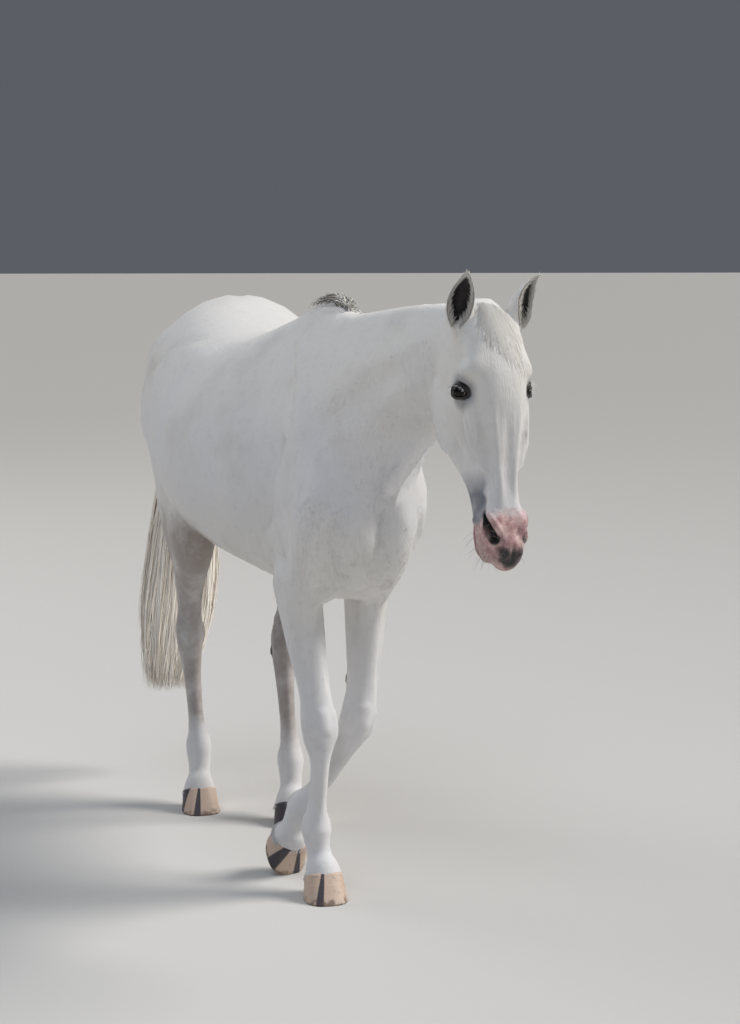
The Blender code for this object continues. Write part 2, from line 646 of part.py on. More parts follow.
def stand_on_origin(objects):
    """Moves the whole animal so that the middle of its footprint is the origin."""
    corners = np.array([vert.co for obj in objects for vert in obj.data.vertices])
    low, high = corners.min(0), corners.max(0)
    shift = Vector((-(low[0] + high[0]) / 2, -(low[1] + high[1]) / 2, -low[2]))
    for obj in objects:
        obj.data.transform(Matrix.Translation(shift))
    return shift


def main():
    for old in list(bpy.data.objects):
        bpy.data.objects.remove(old)
    body = flesh()
    for j in LEGS.values():
        cut_by(body, coronet_block(j))
    thin = body.modifiers.new("thin", "DECIMATE")
    thin.ratio = BODY_TRIANGLES / (2 * len(body.data.polygons))
    settled(body)
    hair = [cut_by(piece, swollen(body, 3 * CUT)) for piece in (mane(), forelock(), tail())]
    ears = [cut_by(ear(name, s), swollen(body, 4 * CUT)) for name, s in (("ear_right", -1), ("ear_left", 1))]
    eyes = [eye("eye_right", -1), eye("eye_left", 1)]
    for piece in eyes:
        cut_by(body, swollen(piece, CUT))
    hooves = [hoof(name + "_hoof", j) for name, j in LEGS.items()]
    slabs = body_slabs()
    for name, j in LEGS.items():
        slabs += leg_slabs(name, j)
    for piece in slabs:
        cut_by(body, piece)
    flesh_nodes = parted(body, seeds())
    for obj in flesh_nodes.values():
        paint(obj, (.62, .61, .60), .8)
    for obj in hair + ears:
        paint(obj, (.70, .67, .60), .7)
    for obj in hooves:
        paint(obj, (.45, .36, .30), .5)
    for obj in eyes:
        paint(obj, (.01, .008, .007), .1)
    stand_on_origin(list(flesh_nodes.values()) + hair + ears + hooves + eyes)


main()
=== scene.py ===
"""A life-size model of a grey-turned-white riding horse at a walk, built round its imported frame."""

import math

import bmesh
import bpy
import numpy as np
from mathutils import Matrix, Vector
from mathutils.bvhtree import BVHTree


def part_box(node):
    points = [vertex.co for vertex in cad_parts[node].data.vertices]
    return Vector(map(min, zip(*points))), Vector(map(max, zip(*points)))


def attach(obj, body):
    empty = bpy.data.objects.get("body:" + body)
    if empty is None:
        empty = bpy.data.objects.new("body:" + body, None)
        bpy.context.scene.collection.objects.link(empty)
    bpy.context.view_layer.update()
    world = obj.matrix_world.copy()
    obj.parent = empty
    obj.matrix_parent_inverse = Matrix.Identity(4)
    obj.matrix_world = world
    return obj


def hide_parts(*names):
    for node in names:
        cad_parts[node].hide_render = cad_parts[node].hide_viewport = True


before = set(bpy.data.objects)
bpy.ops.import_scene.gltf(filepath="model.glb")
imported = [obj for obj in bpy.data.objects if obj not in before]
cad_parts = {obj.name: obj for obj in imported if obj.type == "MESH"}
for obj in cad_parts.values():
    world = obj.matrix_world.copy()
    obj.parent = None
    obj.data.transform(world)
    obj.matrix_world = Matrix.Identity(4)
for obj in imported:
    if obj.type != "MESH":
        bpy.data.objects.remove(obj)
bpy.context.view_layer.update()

# ================================================================ the flesh
# A horse's flesh is muscle strung along its bones. The model's core follows it: trunk, neck, head and four
# legs, each a loft or a spindle that overlaps the next. The skin grows over them, so none of them shows.
# All is modelled with the withers over x = y = 0 and moved to the frame's place when it is finished.
SIDES = 32              # points round each loft
HOOF_LENGTH = 0.135     # toe to heel on the ground
TOE_HEIGHT = 0.078
TOE_RUN = 0.053         # how far the toe wall slopes back
HEEL_HEIGHT = 0.040
HEEL_RUN = 0.012

# the joints of each leg, and where and how its hoof stands, in metres and degrees
RIGHT_FORE = dict(shoulder=(-0.165, -0.290, 1.09), elbow=(-0.142, -0.08, 0.885), knee=(-0.093, -0.130, 0.475),
                  fetlock=(-0.092, -0.098, 0.185), toe=(-0.097, -0.235), turn=-7, pitch=0)
LEFT_FORE = dict(shoulder=(0.146, -0.275, 1.08), elbow=(0.090, -0.02, 0.875), knee=(0.044, -0.050, 0.468),
                 fetlock=(-0.086, 0.046, 0.205), toe=(-0.110, 0.080), turn=10, pitch=60)
RIGHT_HIND = dict(hip=(-0.125, 1.02, 1.24), stifle=(-0.205, 0.760, 0.930), hock=(-0.160, 0.990, 0.555),
                  fetlock=(-0.156, 0.908, 0.185), toe=(-0.183, 0.751), turn=-7, pitch=0)
LEFT_HIND = dict(hip=(0.125, 1.00, 1.24), stifle=(0.185, 0.690, 0.950), hock=(0.088, 0.750, 0.555),
                 fetlock=(0.072, 0.650, 0.185), toe=(0.050, 0.497), turn=-4, pitch=0)
LEGS = dict(right_fore=RIGHT_FORE, left_fore=LEFT_FORE, right_hind=RIGHT_HIND, left_hind=LEFT_HIND)

POLL = (0.088, -0.800, 1.625)
HEAD_TURN = math.radians(2.5)       # to the horse's left
HEAD_TILT = math.radians(9)         # muzzle forward

# station from the elbow or from the hip, one to a joint, then half-sizes to the back, the front, the outer
# side and the inner side
FORELEG = [
    (-0.20, .085, .11, .060, .060), (0.0, .085, .105, .066, .062), (0.25, .078, .090, .060, .058),
    (0.55, .062, .064, .052, .050), (0.80, .048, .048, .045, .045), (0.93, .050, .050, .051, .050),
    (1.02, .049, .052, .052, .051), (1.12, .043, .048, .046, .044), (1.25, .033, .042, .031, .030),
    (1.50, .030, .040, .0260, .0255), (1.75, .031, .041, .028, .0275), (1.90, .040, .047, .038, .038),
    (2.00, .043, .052, .042, .042), (2.20, .038, .046, .037, .037), (2.50, .036, .040, .036, .036),
    (2.75, .046, .050, .046, .046), (3.00, .052, .054, .053, .053), (3.60, .052, .054, .053, .053)]
HINDLEG = [
    (0.95, .10, .15, .085, .085), (1.15, .085, .130, .075, .072), (1.35, .070, .100, .060, .058),
    (1.60, .055, .062, .046, .046), (1.80, .050, .050, .038, .038), (1.92, .056, .058, .044, .043),
    (2.02, .055, .064, .047, .045), (2.12, .049, .058, .043, .041), (2.28, .038, .048, .032, .032),
    (2.50, .031, .040, .027, .026), (2.75, .032, .040, .028, .0275), (2.90, .042, .048, .038, .038),
    (3.00, .044, .054, .041, .041), (3.20, .038, .048, .037, .037), (3.50, .036, .040, .036, .036),
    (3.75, .045, .049, .045, .045), (4.00, .051, .053, .052, .052), (4.60, .051, .053, .052, .052)]

# y, height of the top and bottom lines, half-width, height of the widest part, squareness above and below
TRUNK = [
    (-0.385, 1.135, 1.020, .060, 1.08, 2.0, 1.8),
    (-0.360, 1.200, 0.950, .112, 1.09, 2.0, 1.6),
    (-0.310, 1.290, 0.890, .148, 1.10, 2.0, 1.6),
    (-0.200, 1.450, 0.835, .176, 1.11, 1.9, 1.8),
    (-0.130, 1.590, 0.820, .192, 1.11, 1.6, 2.1),
    (-0.040, 1.652, 0.818, .215, 1.12, 1.45, 2.2),
    (0.080, 1.634, 0.820, .252, 1.13, 1.5, 2.2),
    (0.220, 1.588, 0.828, .300, 1.14, 1.8, 2.2),
    (0.360, 1.550, 0.842, .340, 1.15, 2.1, 2.2),
    (0.520, 1.540, 0.858, .362, 1.16, 2.2, 2.2),
    (0.660, 1.563, 0.890, .356, 1.17, 2.2, 2.1),
    (0.780, 1.605, 0.940, .330, 1.20, 2.1, 2.1),
    (0.890, 1.640, 0.990, .312, 1.23, 2.1, 2.0),
    (1.000, 1.636, 1.010, .306, 1.24, 2.1, 2.0),
    (1.100, 1.602, 1.020, .292, 1.24, 2.1, 2.0),
    (1.190, 1.545, 1.040, .258, 1.25, 2.1, 2.0),
    (1.260, 1.475, 1.090, .200, 1.26, 2.1, 2.0),
    (1.300, 1.400, 1.170, .120, 1.28, 2.1, 2.0)]

# station, crest y and z, underside y and z, sideways place, half-width, squareness above
NECK = [
    (0.0, 0.12, 1.53, -0.16, 0.93, 0.000, .145, 1.5),
    (0.2, -0.02, 1.608, -0.29, 1.00, 0.000, .152, 1.5),
    (0.4, -0.20, 1.612, -0.385, 1.09, 0.005, .130, 1.6),
    (0.6, -0.40, 1.632, -0.49, 1.195, 0.026, .104, 1.7),
    (0.8, -0.60, 1.644, -0.600, 1.295, 0.056, .084, 1.8),
    (1.0, -0.78, 1.625, -0.670, 1.350, 0.086, .072, 2.0)]

# head's own frame: distance below the poll, face line, jaw line, half-width in front, half-width at the jaw
HEAD = [
    (-0.025, -0.020, 0.070, .035, .035),
    (0.000, -0.050, 0.120, .060, .052),
    (0.050, -0.090, 0.165, .076, .064),
    (0.110, -0.116, 0.190, .086, .070),
    (0.170, -0.129, 0.202, .091, .074),
    (0.220, -0.130, 0.206, .088, .075),
    (0.270, -0.124, 0.200, .076, .070),
    (0.320, -0.116, 0.175, .064, .060),
    (0.370, -0.108, 0.130, .055, .050),
    (0.430, -0.102, 0.082, .048, .044),
    (0.490, -0.101, 0.058, .050, .044),
    (0.540, -0.103, 0.052, .056, .047),
    (0.580, -0.092, 0.042, .050, .044),
    (0.606, -0.064, 0.012, .036, .034)]


def through(rows, count):
    """Rows led by their station, read at even stations from a smooth curve through them."""
    rows = np.array(rows, float)
    at = rows[:, 0]
    slope = np.gradient(rows, at, axis=0)
    want = np.linspace(at[0], at[-1], count)
    i = np.clip(np.searchsorted(at, want) - 1, 0, len(at) - 2)
    gap = (at[i + 1] - at[i])[:, None]
    u = (want - at[i])[:, None] / gap
    return ((2 * u**3 - 3 * u**2 + 1) * rows[i] + (u**3 - 2 * u**2 + u) * gap * slope[i]
            + (3 * u**2 - 2 * u**3) * rows[i + 1] + (u**3 - u**2) * gap * slope[i + 1])


def unit(v):
    return v / np.linalg.norm(v, axis=-1, keepdims=True)


def as_object(bm, name):
    """A bmesh, with its faces turned outwards, as an object in the scene."""
    bmesh.ops.recalc_face_normals(bm, faces=bm.faces)
    mesh = bpy.data.meshes.new(name)
    bm.to_mesh(mesh)
    bm.free()
    obj = bpy.data.objects.new(name, mesh)
    bpy.context.scene.collection.objects.link(obj)
    return obj


def tube(name, rings):
    """A closed solid from an array of rings (rings x sides x 3), with a fan over each end."""
    rings = np.asarray(rings)
    sides = rings.shape[1]
    first = np.repeat(rings[:1].mean(1, keepdims=True), sides, axis=1)
    last = np.repeat(rings[-1:].mean(1, keepdims=True), sides, axis=1)
    grid = np.concatenate([first, rings, last])
    grid = np.concatenate([grid, grid[:, :1]], axis=1)
    bm = bmesh.new()
    made = bmesh.ops.create_grid(bm, x_segments=grid.shape[1] - 1, y_segments=grid.shape[0] - 1, size=1)
    for vert, place in zip(made["verts"], grid.reshape(-1, 3)):
        vert.co = place
    bmesh.ops.remove_doubles(bm, verts=bm.verts, dist=1e-6)
    return as_object(bm, name)


def oval(right, left, top, bottom, square_top=2.0, square_bottom=2.0, sides=SIDES):
    """Points of an oval of four half-sizes; its squareness is 2 for an ellipse and more for a boxier one."""
    turn = np.linspace(0, 2 * math.pi, sides, endpoint=False)
    c, s = np.cos(turn), np.sin(turn)
    power = np.where(s > 0, 2 / square_top, 2 / square_bottom)
    across = np.sign(c) * np.abs(c) ** power * np.where(c > 0, right, left)
    up = np.sign(s) * np.abs(s) ** power * np.where(s > 0, top, bottom)
    return np.stack([across, up], axis=1)


def plate(name, outer, inner):
    """A closed leaf between two grids of points of one size."""
    rows, columns = outer.shape[:2]
    bm = bmesh.new()
    face = [[bm.verts.new(p) for p in row] for row in outer]
    back = [[bm.verts.new(p) for p in row] for row in inner]
    for i in range(rows - 1):
        for j in range(columns - 1):
            bm.faces.new((face[i][j], face[i][j + 1], face[i + 1][j + 1], face[i + 1][j]))
            bm.faces.new((back[i][j], back[i + 1][j], back[i + 1][j + 1], back[i][j + 1]))
    rim = ([(0, j) for j in range(columns - 1)] + [(i, columns - 1) for i in range(rows - 1)]
           + [(rows - 1, j) for j in range(columns - 1, 0, -1)] + [(i, 0) for i in range(rows - 1, 0, -1)])
    for (i, j), (p, q) in zip(rim, rim[1:] + rim[:1]):
        bm.faces.new((face[p][q], face[i][j], back[i][j], back[p][q]))
    return as_object(bm, name)


def limb(name, joints, sections):
    """A leg's flesh: sections strung along a smooth line through its joints."""
    sections = through(sections, 70)
    line = through([(k, *p) for k, p in enumerate(joints)], 40 * (len(joints) - 1) + 1)
    centre = np.stack([np.interp(sections[:, 0], line[:, 0], line[:, k]) for k in (1, 2, 3)], axis=1)
    along = unit(np.gradient(centre, axis=0))
    rearward = unit(np.cross([1, 0, 0], along))
    out = unit(np.cross(along, rearward)) * math.copysign(1, joints[0][0])
    rings = []
    for k, (_, behind, ahead, outer, inner) in enumerate(sections):
        flat = oval(outer, inner, behind, ahead)
        rings.append(centre[k] + flat[:, :1] * out[k] + flat[:, 1:] * rearward[k])
    return tube(name, rings)


def muscle(name, start, end, width, depth, facing):
    """A spindle of flesh from start to end, depth thick along facing and width across."""
    start, end, facing = Vector(start), Vector(end), Vector(facing)
    along = end - start
    facing -= along * (facing.dot(along) / along.length_squared)
    facing.normalize()
    across = along.normalized().cross(facing)
    bm = bmesh.new()
    bmesh.ops.create_icosphere(bm, subdivisions=3, radius=1)
    axes = Matrix((along / 2, across * width / 2, facing * depth / 2)).transposed().to_4x4()
    bmesh.ops.transform(bm, matrix=Matrix.Translation((start + end) / 2) @ axes, verts=bm.verts)
    return as_object(bm, name)


def mix(a, b, share):
    """The point a share of the way from a to b."""
    return tuple(p + (q - p) * share for p, q in zip(a, b))


def off(p, dx, dy, dz):
    """The point so far off p."""
    return (p[0] + dx, p[1] + dy, p[2] + dz)


def trunk():
    rings = []
    for y, top, bottom, half, waist, above, below in through(TRUNK, 80):
        flat = oval(half, half, top - waist, waist - bottom, above, below)
        rings.append(np.stack([flat[:, 0], np.full(SIDES, y), flat[:, 1] + waist], axis=1))
    return tube("trunk_flesh", rings)


def neck_rings(swell=0.0):
    """The neck's rings from the withers to the poll, swollen outwards by so much."""
    rings = []
    for _, crest_y, crest_z, under_y, under_z, x, half, square in through(NECK, 50):
        crest, under = np.array([x, crest_y, crest_z]), np.array([x, under_y, under_z])
        size = np.linalg.norm(crest - under) / 2
        up = (crest - under) / 2 / size
        flat = oval(half + swell, half + swell, size + swell, size + swell, square, 2.0)
        rings.append((crest + under) / 2 + flat[:, :1] * np.array([1, 0, 0]) + flat[:, 1:] * up)
    return np.array(rings)


def head_place():
    """The head's frame in the world: it hangs from the poll."""
    return (Matrix.Translation(POLL) @ Matrix.Rotation(HEAD_TURN, 4, "Z")
            @ Matrix.Rotation(-HEAD_TILT, 4, "X"))


def head_rings(swell=0.0):
    """The head in its own frame: +X its left, -Y out of the face, +Z up to the poll."""
    rings = []
    for down, face, jaw, wide, narrow in through(HEAD, 70):
        middle, deep = (face + jaw) / 2, (jaw - face) / 2
        flat = oval(1, 1, deep + swell, deep + swell, 2.7, 2.3)
        share = np.clip(0.5 - flat[:, 1] / deep / 2, 0, 1)
        half = wide + (narrow - wide) * share + swell
        rings.append(np.stack([flat[:, 0] * half, middle - flat[:, 1], np.full(SIDES, -down)], axis=1))
    return np.array(rings)


def head():
    pieces = [tube("head_flesh", head_rings())]
    for s in (-1, 1):
        pieces += [
            muscle("cheek", (s * .060, .03, -.12), (s * .052, .10, -.345), .22, .056, (s, 0, 0)),
            muscle("brow", (s * .060, -.110, -.125), (s * .078, -.050, -.180), .070, .046, (s, -1, 0)),
            muscle("cheekbone", (s * .076, -.065, -.190), (s * .046, -.070, -.400), .045, .034, (s, 0, 0)),
            muscle("nostril", (s * .026, -.078, -.470), (s * .042, -.078, -.562), .060, .044, (s, -.6, 0)),
            muscle("temple", (s * .026, -.050, -.010), (s * .058, -.092, -.150), .080, .060, (s, -1, 0)),
        ]
    pieces.append(muscle("chin", (0, .000, -.535), (0, .044, -.585), .070, .070, (1, 0, 0)))
    pieces.append(muscle("upper_lip", (0, -.095, -.530), (0, -.040, -.624), .080, .085, (1, 0, 0)))
    for piece in pieces:
        piece.data.transform(head_place())
    return pieces


def hoof_place(j):
    """The hoof's frame: origin at the toe on the ground, -Y forward, tipped onto the toe by its pitch."""
    return (Matrix.Translation((*j["toe"], 0)) @ Matrix.Rotation(math.radians(j["turn"]), 4, "Z")
            @ Matrix.Rotation(math.radians(j["pitch"]), 4, "X"))


def coronet_line(j):
    """The middle of the hoof's top, and a point inside the hoof that the leg runs on to."""
    middle = Vector((0, (TOE_RUN + HOOF_LENGTH + HEEL_RUN) / 2, (TOE_HEIGHT + HEEL_HEIGHT) / 2))
    return [tuple(hoof_place(j) @ middle), tuple(hoof_place(j) @ (middle - Vector((0, 0.03, 0.09))))]


def fore(j):
    """The joints of a foreleg, from the upper arm down into the hoof, and its sections."""
    shoulder, elbow = j["shoulder"], j["elbow"]
    return ([mix(shoulder, elbow, 0.4), elbow, j["knee"], j["fetlock"], *coronet_line(j)],
            [(row[0] + 1, *row[1:]) for row in FORELEG])


def hind(j):
    """The joints of a hind leg, from the hip down into the hoof, and its sections."""
    stifle, s = j["stifle"], math.copysign(1, j["hip"][0])
    return [j["hip"], off(stifle, -s * .02, .09, 0), j["hock"], j["fetlock"], *coronet_line(j)], HINDLEG


def forequarter(j, name):
    """Shoulder blade, upper arm, triceps and breast muscles, and the leg down into its hoof."""
    shoulder, elbow = j["shoulder"], j["elbow"]
    s = math.copysign(1, shoulder[0])
    out = (s, 0, 0)
    return [
        limb(name + "_leg", *fore(j)),
        muscle("blade", (s * .075, .03, 1.50), off(shoulder, -s * .01, .01, .02), .25, .11, (s, 0, .15)),
        muscle("triceps", (s * .150, .11, 1.34), off(elbow, s * .004, .03, 0), .26, .12, out),
        muscle("arm", off(shoulder, -s * .014, -.02, .10), off(elbow, -s * .016, -.02, -.10), .17, .115, out),
        muscle("point", off(shoulder, -s * .03, -.02, .13), off(shoulder, -s * .05, .03, -.13),
               .14, .13, out),
        muscle("breast", (s * .084, -.285, 1.17), (s * .045, -.25, .86), .13, .19, (0, -1, 0)),
        muscle("girdle", (s * .07, -.25, .98), off(elbow, -s * .02, -.02, -.06), .14, .13, (0, -1, 0)),
    ]


def hindquarter(j, name):
    """Rump, thigh, hamstring and gaskin muscles, the point of the hock, and the leg down into its hoof."""
    stifle, hock = j["stifle"], j["hock"]
    s = math.copysign(1, j["hip"][0])
    out = (s, 0, 0)
    gaskin = mix(stifle, hock, 0.5)
    return [
        limb(name + "_leg", *hind(j)),
        muscle("rump", (s * .160, .78, 1.46), (s * .135, 1.23, 1.40), .27, .24, (0, 0, 1)),
        muscle("buttock", (s * .110, 1.15, 1.47), (s * .125, 1.14, 1.03), .24, .20, out),
        muscle("thigh", (s * .185, 1.06, 1.47), off(stifle, -s * .010, .03, -.03), .38, .22, out),
        muscle("ham", (s * .140, 1.17, 1.48), off(gaskin, 0, .03, 0), .27, .20, out),
        muscle("inner", (s * .07, 1.08, 1.25), off(gaskin, -s * .01, .02, .06), .32, .15, out),
        muscle("knee_cap", off(stifle, 0, .02, .13), off(stifle, -s * .01, .04, -.11), .17, .13, out),
        muscle("flank", (s * .24, .70, 1.20), off(stifle, -s * .03, -.01, .02), .16, .07, out),
        muscle("tendon", off(gaskin, 0, .05, 0), off(hock, 0, .066, .05), .045, .035, out),
        muscle("heel", off(hock, 0, .058, .090), off(hock, 0, .03, -.07), .06, .05, out),
    ]


def flesh_pieces():
    pieces = [trunk(), tube("neck_flesh", neck_rings())]
    pieces += head()
    pieces += forequarter(RIGHT_FORE, "right_fore") + forequarter(LEFT_FORE, "left_fore")
    pieces += hindquarter(RIGHT_HIND, "right_hind") + hindquarter(LEFT_HIND, "left_hind")
    return pieces


# ================================================================ the skin
# A horse's hide is one piece, drawn close over muscle, bone and tendon, with ears and eyelids in it. Here it
# is one closed skin grown over the core and evened out, and then modelled line by line where bone, tendon and
# muscle show. It lies a coat's depth inside the flesh.
GRAIN = 0.005      # size of the skin's faces on the body
COAT = 0.0015                               # depth of the summer coat
HORN_LAP = 0.010                            # how far each leg runs down inside its horn box


def joined(pieces, name):
    """One mesh of all the pieces, which still overlap."""
    bm = bmesh.new()
    for piece in pieces:
        bm.from_mesh(piece.data)
        bpy.data.objects.remove(piece)
    mesh = bpy.data.meshes.new(name)
    bm.to_mesh(mesh)
    bm.free()
    obj = bpy.data.objects.new(name, mesh)
    bpy.context.scene.collection.objects.link(obj)
    return obj


def settled(obj):
    """The object with its modifiers made part of its mesh."""
    graph = bpy.context.evaluated_depsgraph_get()
    mesh = bpy.data.meshes.new_from_object(obj.evaluated_get(graph))
    obj.modifiers.clear()
    obj.data = mesh
    return obj


def relax(obj, rounds, weight, pull_back=0.0):
    """Evens the surface: each point moves towards the mean of its neighbours by its weight."""
    mesh = obj.data
    count = len(mesh.vertices)
    places = np.empty(count * 3)
    mesh.vertices.foreach_get("co", places)
    places = places.reshape(-1, 3)
    edges = np.empty(len(mesh.edges) * 2, int)
    mesh.edges.foreach_get("vertices", edges)
    a, b = edges.reshape(-1, 2).T
    near = np.bincount(np.concatenate([a, b]), minlength=count)[:, None]
    share = weight(places)[:, None] if callable(weight) else weight
    for _ in range(rounds):
        for step in ((1.0, -pull_back) if pull_back else (1.0,)):
            total = np.zeros_like(places)
            for k in range(3):
                total[:, k] = (np.bincount(a, places[b, k], count) + np.bincount(b, places[a, k], count))
            places = places + (total / near - places) * share * step
    mesh.vertices.foreach_set("co", places.ravel())
    mesh.update()


def body_mass_share(places):
    """How much the trunk and the thick of the neck are evened; nothing on the head and the lower legs."""
    legs = np.clip((places[:, 2] - 0.80) / 0.15, 0, 1)
    head_side = np.clip((places[:, 1] + 0.70) / 0.12, 0, 1)
    return 0.6 * legs * head_side


def carve(line, width, depth, facing, reach=0.05):
    """Raises (or with a negative depth sinks) a soft-sided line in the skin that faces one way."""
    facing = unit(np.array(facing, float))
    line = np.array(line, float)
    if len(line) == 1:
        line = np.concatenate([line, line + 1e-4])
    low, high = line.min(0) - width - reach, line.max(0) + width + reach
    near = np.flatnonzero(np.all((skin_at > low) & (skin_at < high), axis=1))
    p, away = skin_at[near], skin_out[near]
    best = np.full(len(near), 1e9)
    off_plane = np.zeros(len(near))
    lengths = np.linalg.norm(np.diff(line, axis=0), axis=1)
    start = np.concatenate([[0], np.cumsum(lengths)])
    along = np.zeros(len(near))
    for k in range(len(line) - 1):
        a, step = line[k], line[k + 1] - line[k]
        flat = step - facing * (step @ facing)
        t = np.clip(((p - a) @ flat) / max(flat @ flat, 1e-12), 0, 1)
        gap = p - a - t[:, None] * step
        deep = gap @ facing
        gap = np.linalg.norm(gap - deep[:, None] * facing, axis=1)
        better = gap < best
        best[better], off_plane[better] = gap[better], deep[better]
        along[better] = start[k] + t[better] * lengths[k]
    u = np.clip(1 - (best / width) ** 2, 0, 1) ** 2
    u *= np.clip(((away @ facing) - 0.05) / 0.35, 0, 1) * (np.abs(off_plane) < reach)
    if start[-1] > 3 * width:
        ends = np.minimum(along, start[-1] - along) / (0.25 * start[-1])
        u *= np.clip(ends, 0.15, 1)
    skin_at[near] += away * (u * depth)[:, None]


def read_skin():
    """Where the skin's points are, and their ways out."""
    mesh = skin.data
    at, out = np.empty(len(mesh.vertices) * 3), np.empty(len(mesh.vertices) * 3)
    mesh.vertices.foreach_get("co", at)
    mesh.vertices.foreach_get("normal", out)
    return at.reshape(-1, 3), out.reshape(-1, 3)


def write_skin():
    skin.data.vertices.foreach_set("co", skin_at.ravel())
    skin.data.update()


def finer(obj, wanted):
    """Splits every face of the object whose points are all wanted into four."""
    bm = bmesh.new()
    bm.from_mesh(obj.data)
    places = np.array([vert.co for vert in bm.verts])
    chosen = wanted(places)
    edges = [e for e in bm.edges if chosen[e.verts[0].index] and chosen[e.verts[1].index]]
    bmesh.ops.subdivide_edges(bm, edges=edges, cuts=1, use_grid_fill=True, smooth=0.0)
    bm.to_mesh(obj.data)
    bm.free()


def union_with(obj, extra, operation="UNION"):
    """Joins the extra piece to the object, or cuts it out of it."""
    both = obj.modifiers.new("with", "BOOLEAN")
    both.operation = operation
    both.solver = "MANIFOLD"
    both.object = extra
    settled(obj)
    bpy.data.objects.remove(extra)


def sphere_share(places, centre, inner, outer):
    """1 within the inner radius of a point, falling to 0 at the outer."""
    gap = np.linalg.norm(places - np.array(centre), axis=1)
    u = np.clip((outer - gap) / (outer - inner), 0, 1)
    return u * u * (3 - 2 * u)


skin = joined(flesh_pieces(), "horse_skin")
union = skin.modifiers.new("union", "REMESH")
union.mode = "VOXEL"
union.voxel_size = GRAIN
settled(skin)
relax(skin, round(40 * (0.01 / GRAIN) ** 2), body_mass_share)
relax(skin, 5, 0.5)
relax(skin, 5, 0.5, 1.03)


def coronet_block(j):
    """What is cut off a leg, so that it ends just inside its horn box."""
    slope = math.atan2(TOE_HEIGHT - HEEL_HEIGHT, HOOF_LENGTH + HEEL_RUN - TOE_RUN)
    middle = Vector((0, (TOE_RUN + HOOF_LENGTH + HEEL_RUN) / 2, (TOE_HEIGHT + HEEL_HEIGHT) / 2 - HORN_LAP))
    place = hoof_place(j) @ Matrix.Translation(middle) @ Matrix.Rotation(-slope, 4, "X")
    bm = bmesh.new()
    bmesh.ops.create_cube(bm, size=1, matrix=place @ Matrix.Translation((0, 0, -0.08))
                          @ Matrix.Diagonal((0.18, 0.20, 0.16, 1)))
    return as_object(bm, "coronet_block")


for j in LEGS.values():
    union_with(skin, coronet_block(j), "DIFFERENCE")


# The ears: rolled leaves of gristle, closed at the foot, that stand on the skull behind the brow.
# Both tips curl to the left, and each ear leans forward a little towards its tip. Places along an ear are
# shares of its length, from its foot up.
EAR = (0.077, -0.033, -0.050)       # the foot of the left ear, in the head's frame
EAR_LENGTH = 0.138


def ear_bend(up):
    """How far the ear has curled, to the left and forward."""
    return np.stack([.013 * up * up, -.022 * up * up], axis=-1)


def ear_width(up):
    """The radius of the leaf's roll."""
    return np.interp(up, (-.06, 0, .12, .25, .45, .62, .8, .92, 1),
                     (.019, .024, .030, .0335, .0335, .0295, .0205, .0115, .003))


def ear_roll(up):
    """How far round the leaf reaches on each side of its middle."""
    return np.radians(np.interp(up, (0, .12, .25, .45, .7, 1), (168, 145, 122, 100, 80, 50)))


def ear_leaf(s):
    """One ear's leaf, from a little below its foot to its tip."""
    rows, columns = 26, 30
    grids = [], []
    for t in np.linspace(-0.06, 1, rows):
        wide, roll = ear_width(t), ear_roll(t)
        hollow = np.array([0, 0.003 * math.sin(math.pi * max(t, 0))])
        thick = np.interp(t, (0, .15, .5, 1), (.009, .006, .0045, .002))
        turn = np.linspace(-roll, roll, columns)
        edge = np.abs(np.linspace(-1, 1, columns))
        ring = np.stack([np.sin(turn), np.cos(turn)], axis=1)
        for grid, radius in zip(grids, (wide, wide - thick * (1 - 0.55 * edge ** 6))):
            flat = ring * np.reshape(np.maximum(radius, 0.0006), (-1, 1)) + ear_bend(t) + hollow
            grid.append(np.concatenate([flat, np.full((columns, 1), EAR_LENGTH * t)], axis=1))
    leaf = plate("ear_leaf", np.array(grids[0]), np.array(grids[1]))
    leaf.data.transform(head_place() @ ear_stand(s))
    return leaf


def ear_stand(s):
    """Where an ear stands in the head's frame: s is 1 for the left ear and -1 for the right."""
    lean, splay, twist = math.radians(14), math.radians(9 + s * 5), math.radians(s * 28)
    return (Matrix.Translation((s * EAR[0], EAR[1], EAR[2])) @ Matrix.Rotation(lean, 4, "X")
            @ Matrix.Rotation(splay, 4, "Y") @ Matrix.Rotation(twist, 4, "Z"))


def ear_base(s):
    """The rounded gristle that carries the ear, and closes the foot of its roll."""
    foot = muscle("ear_base", (-s * .020, .002, -.052), (0, .000, .030), .060, .052, (0, 1, 0))
    foot.data.transform(head_place() @ ear_stand(s))
    return foot


head_frame = head_place()
into_head = np.array(head_frame.inverted())
ear_feet = [np.array(head_frame @ ear_stand(s) @ Vector((0, 0, 0.01))) for s in (-1, 1)]


def in_head(places):
    """The places in the head's frame."""
    return places @ into_head[:3, :3].T + into_head[:3, 3]


for s in (-1, 1):
    union_with(skin, ear_base(s))
    union_with(skin, ear_leaf(s))
    foot = ear_feet[(s + 1) // 2]
    relax(skin, 14, lambda places: 0.6 * sphere_share(places, foot, 0.026, 0.048))
    below = np.array(head_frame @ ear_stand(s) @ Vector((0, 0, -.030)))
    relax(skin, 40, lambda places: 0.8 * sphere_share(places, below, 0.034, 0.056))


def to_head(x, y, z):
    """A place in the head's frame, as it stands on the neck."""
    return np.array(head_frame @ Vector((x, y, z)))


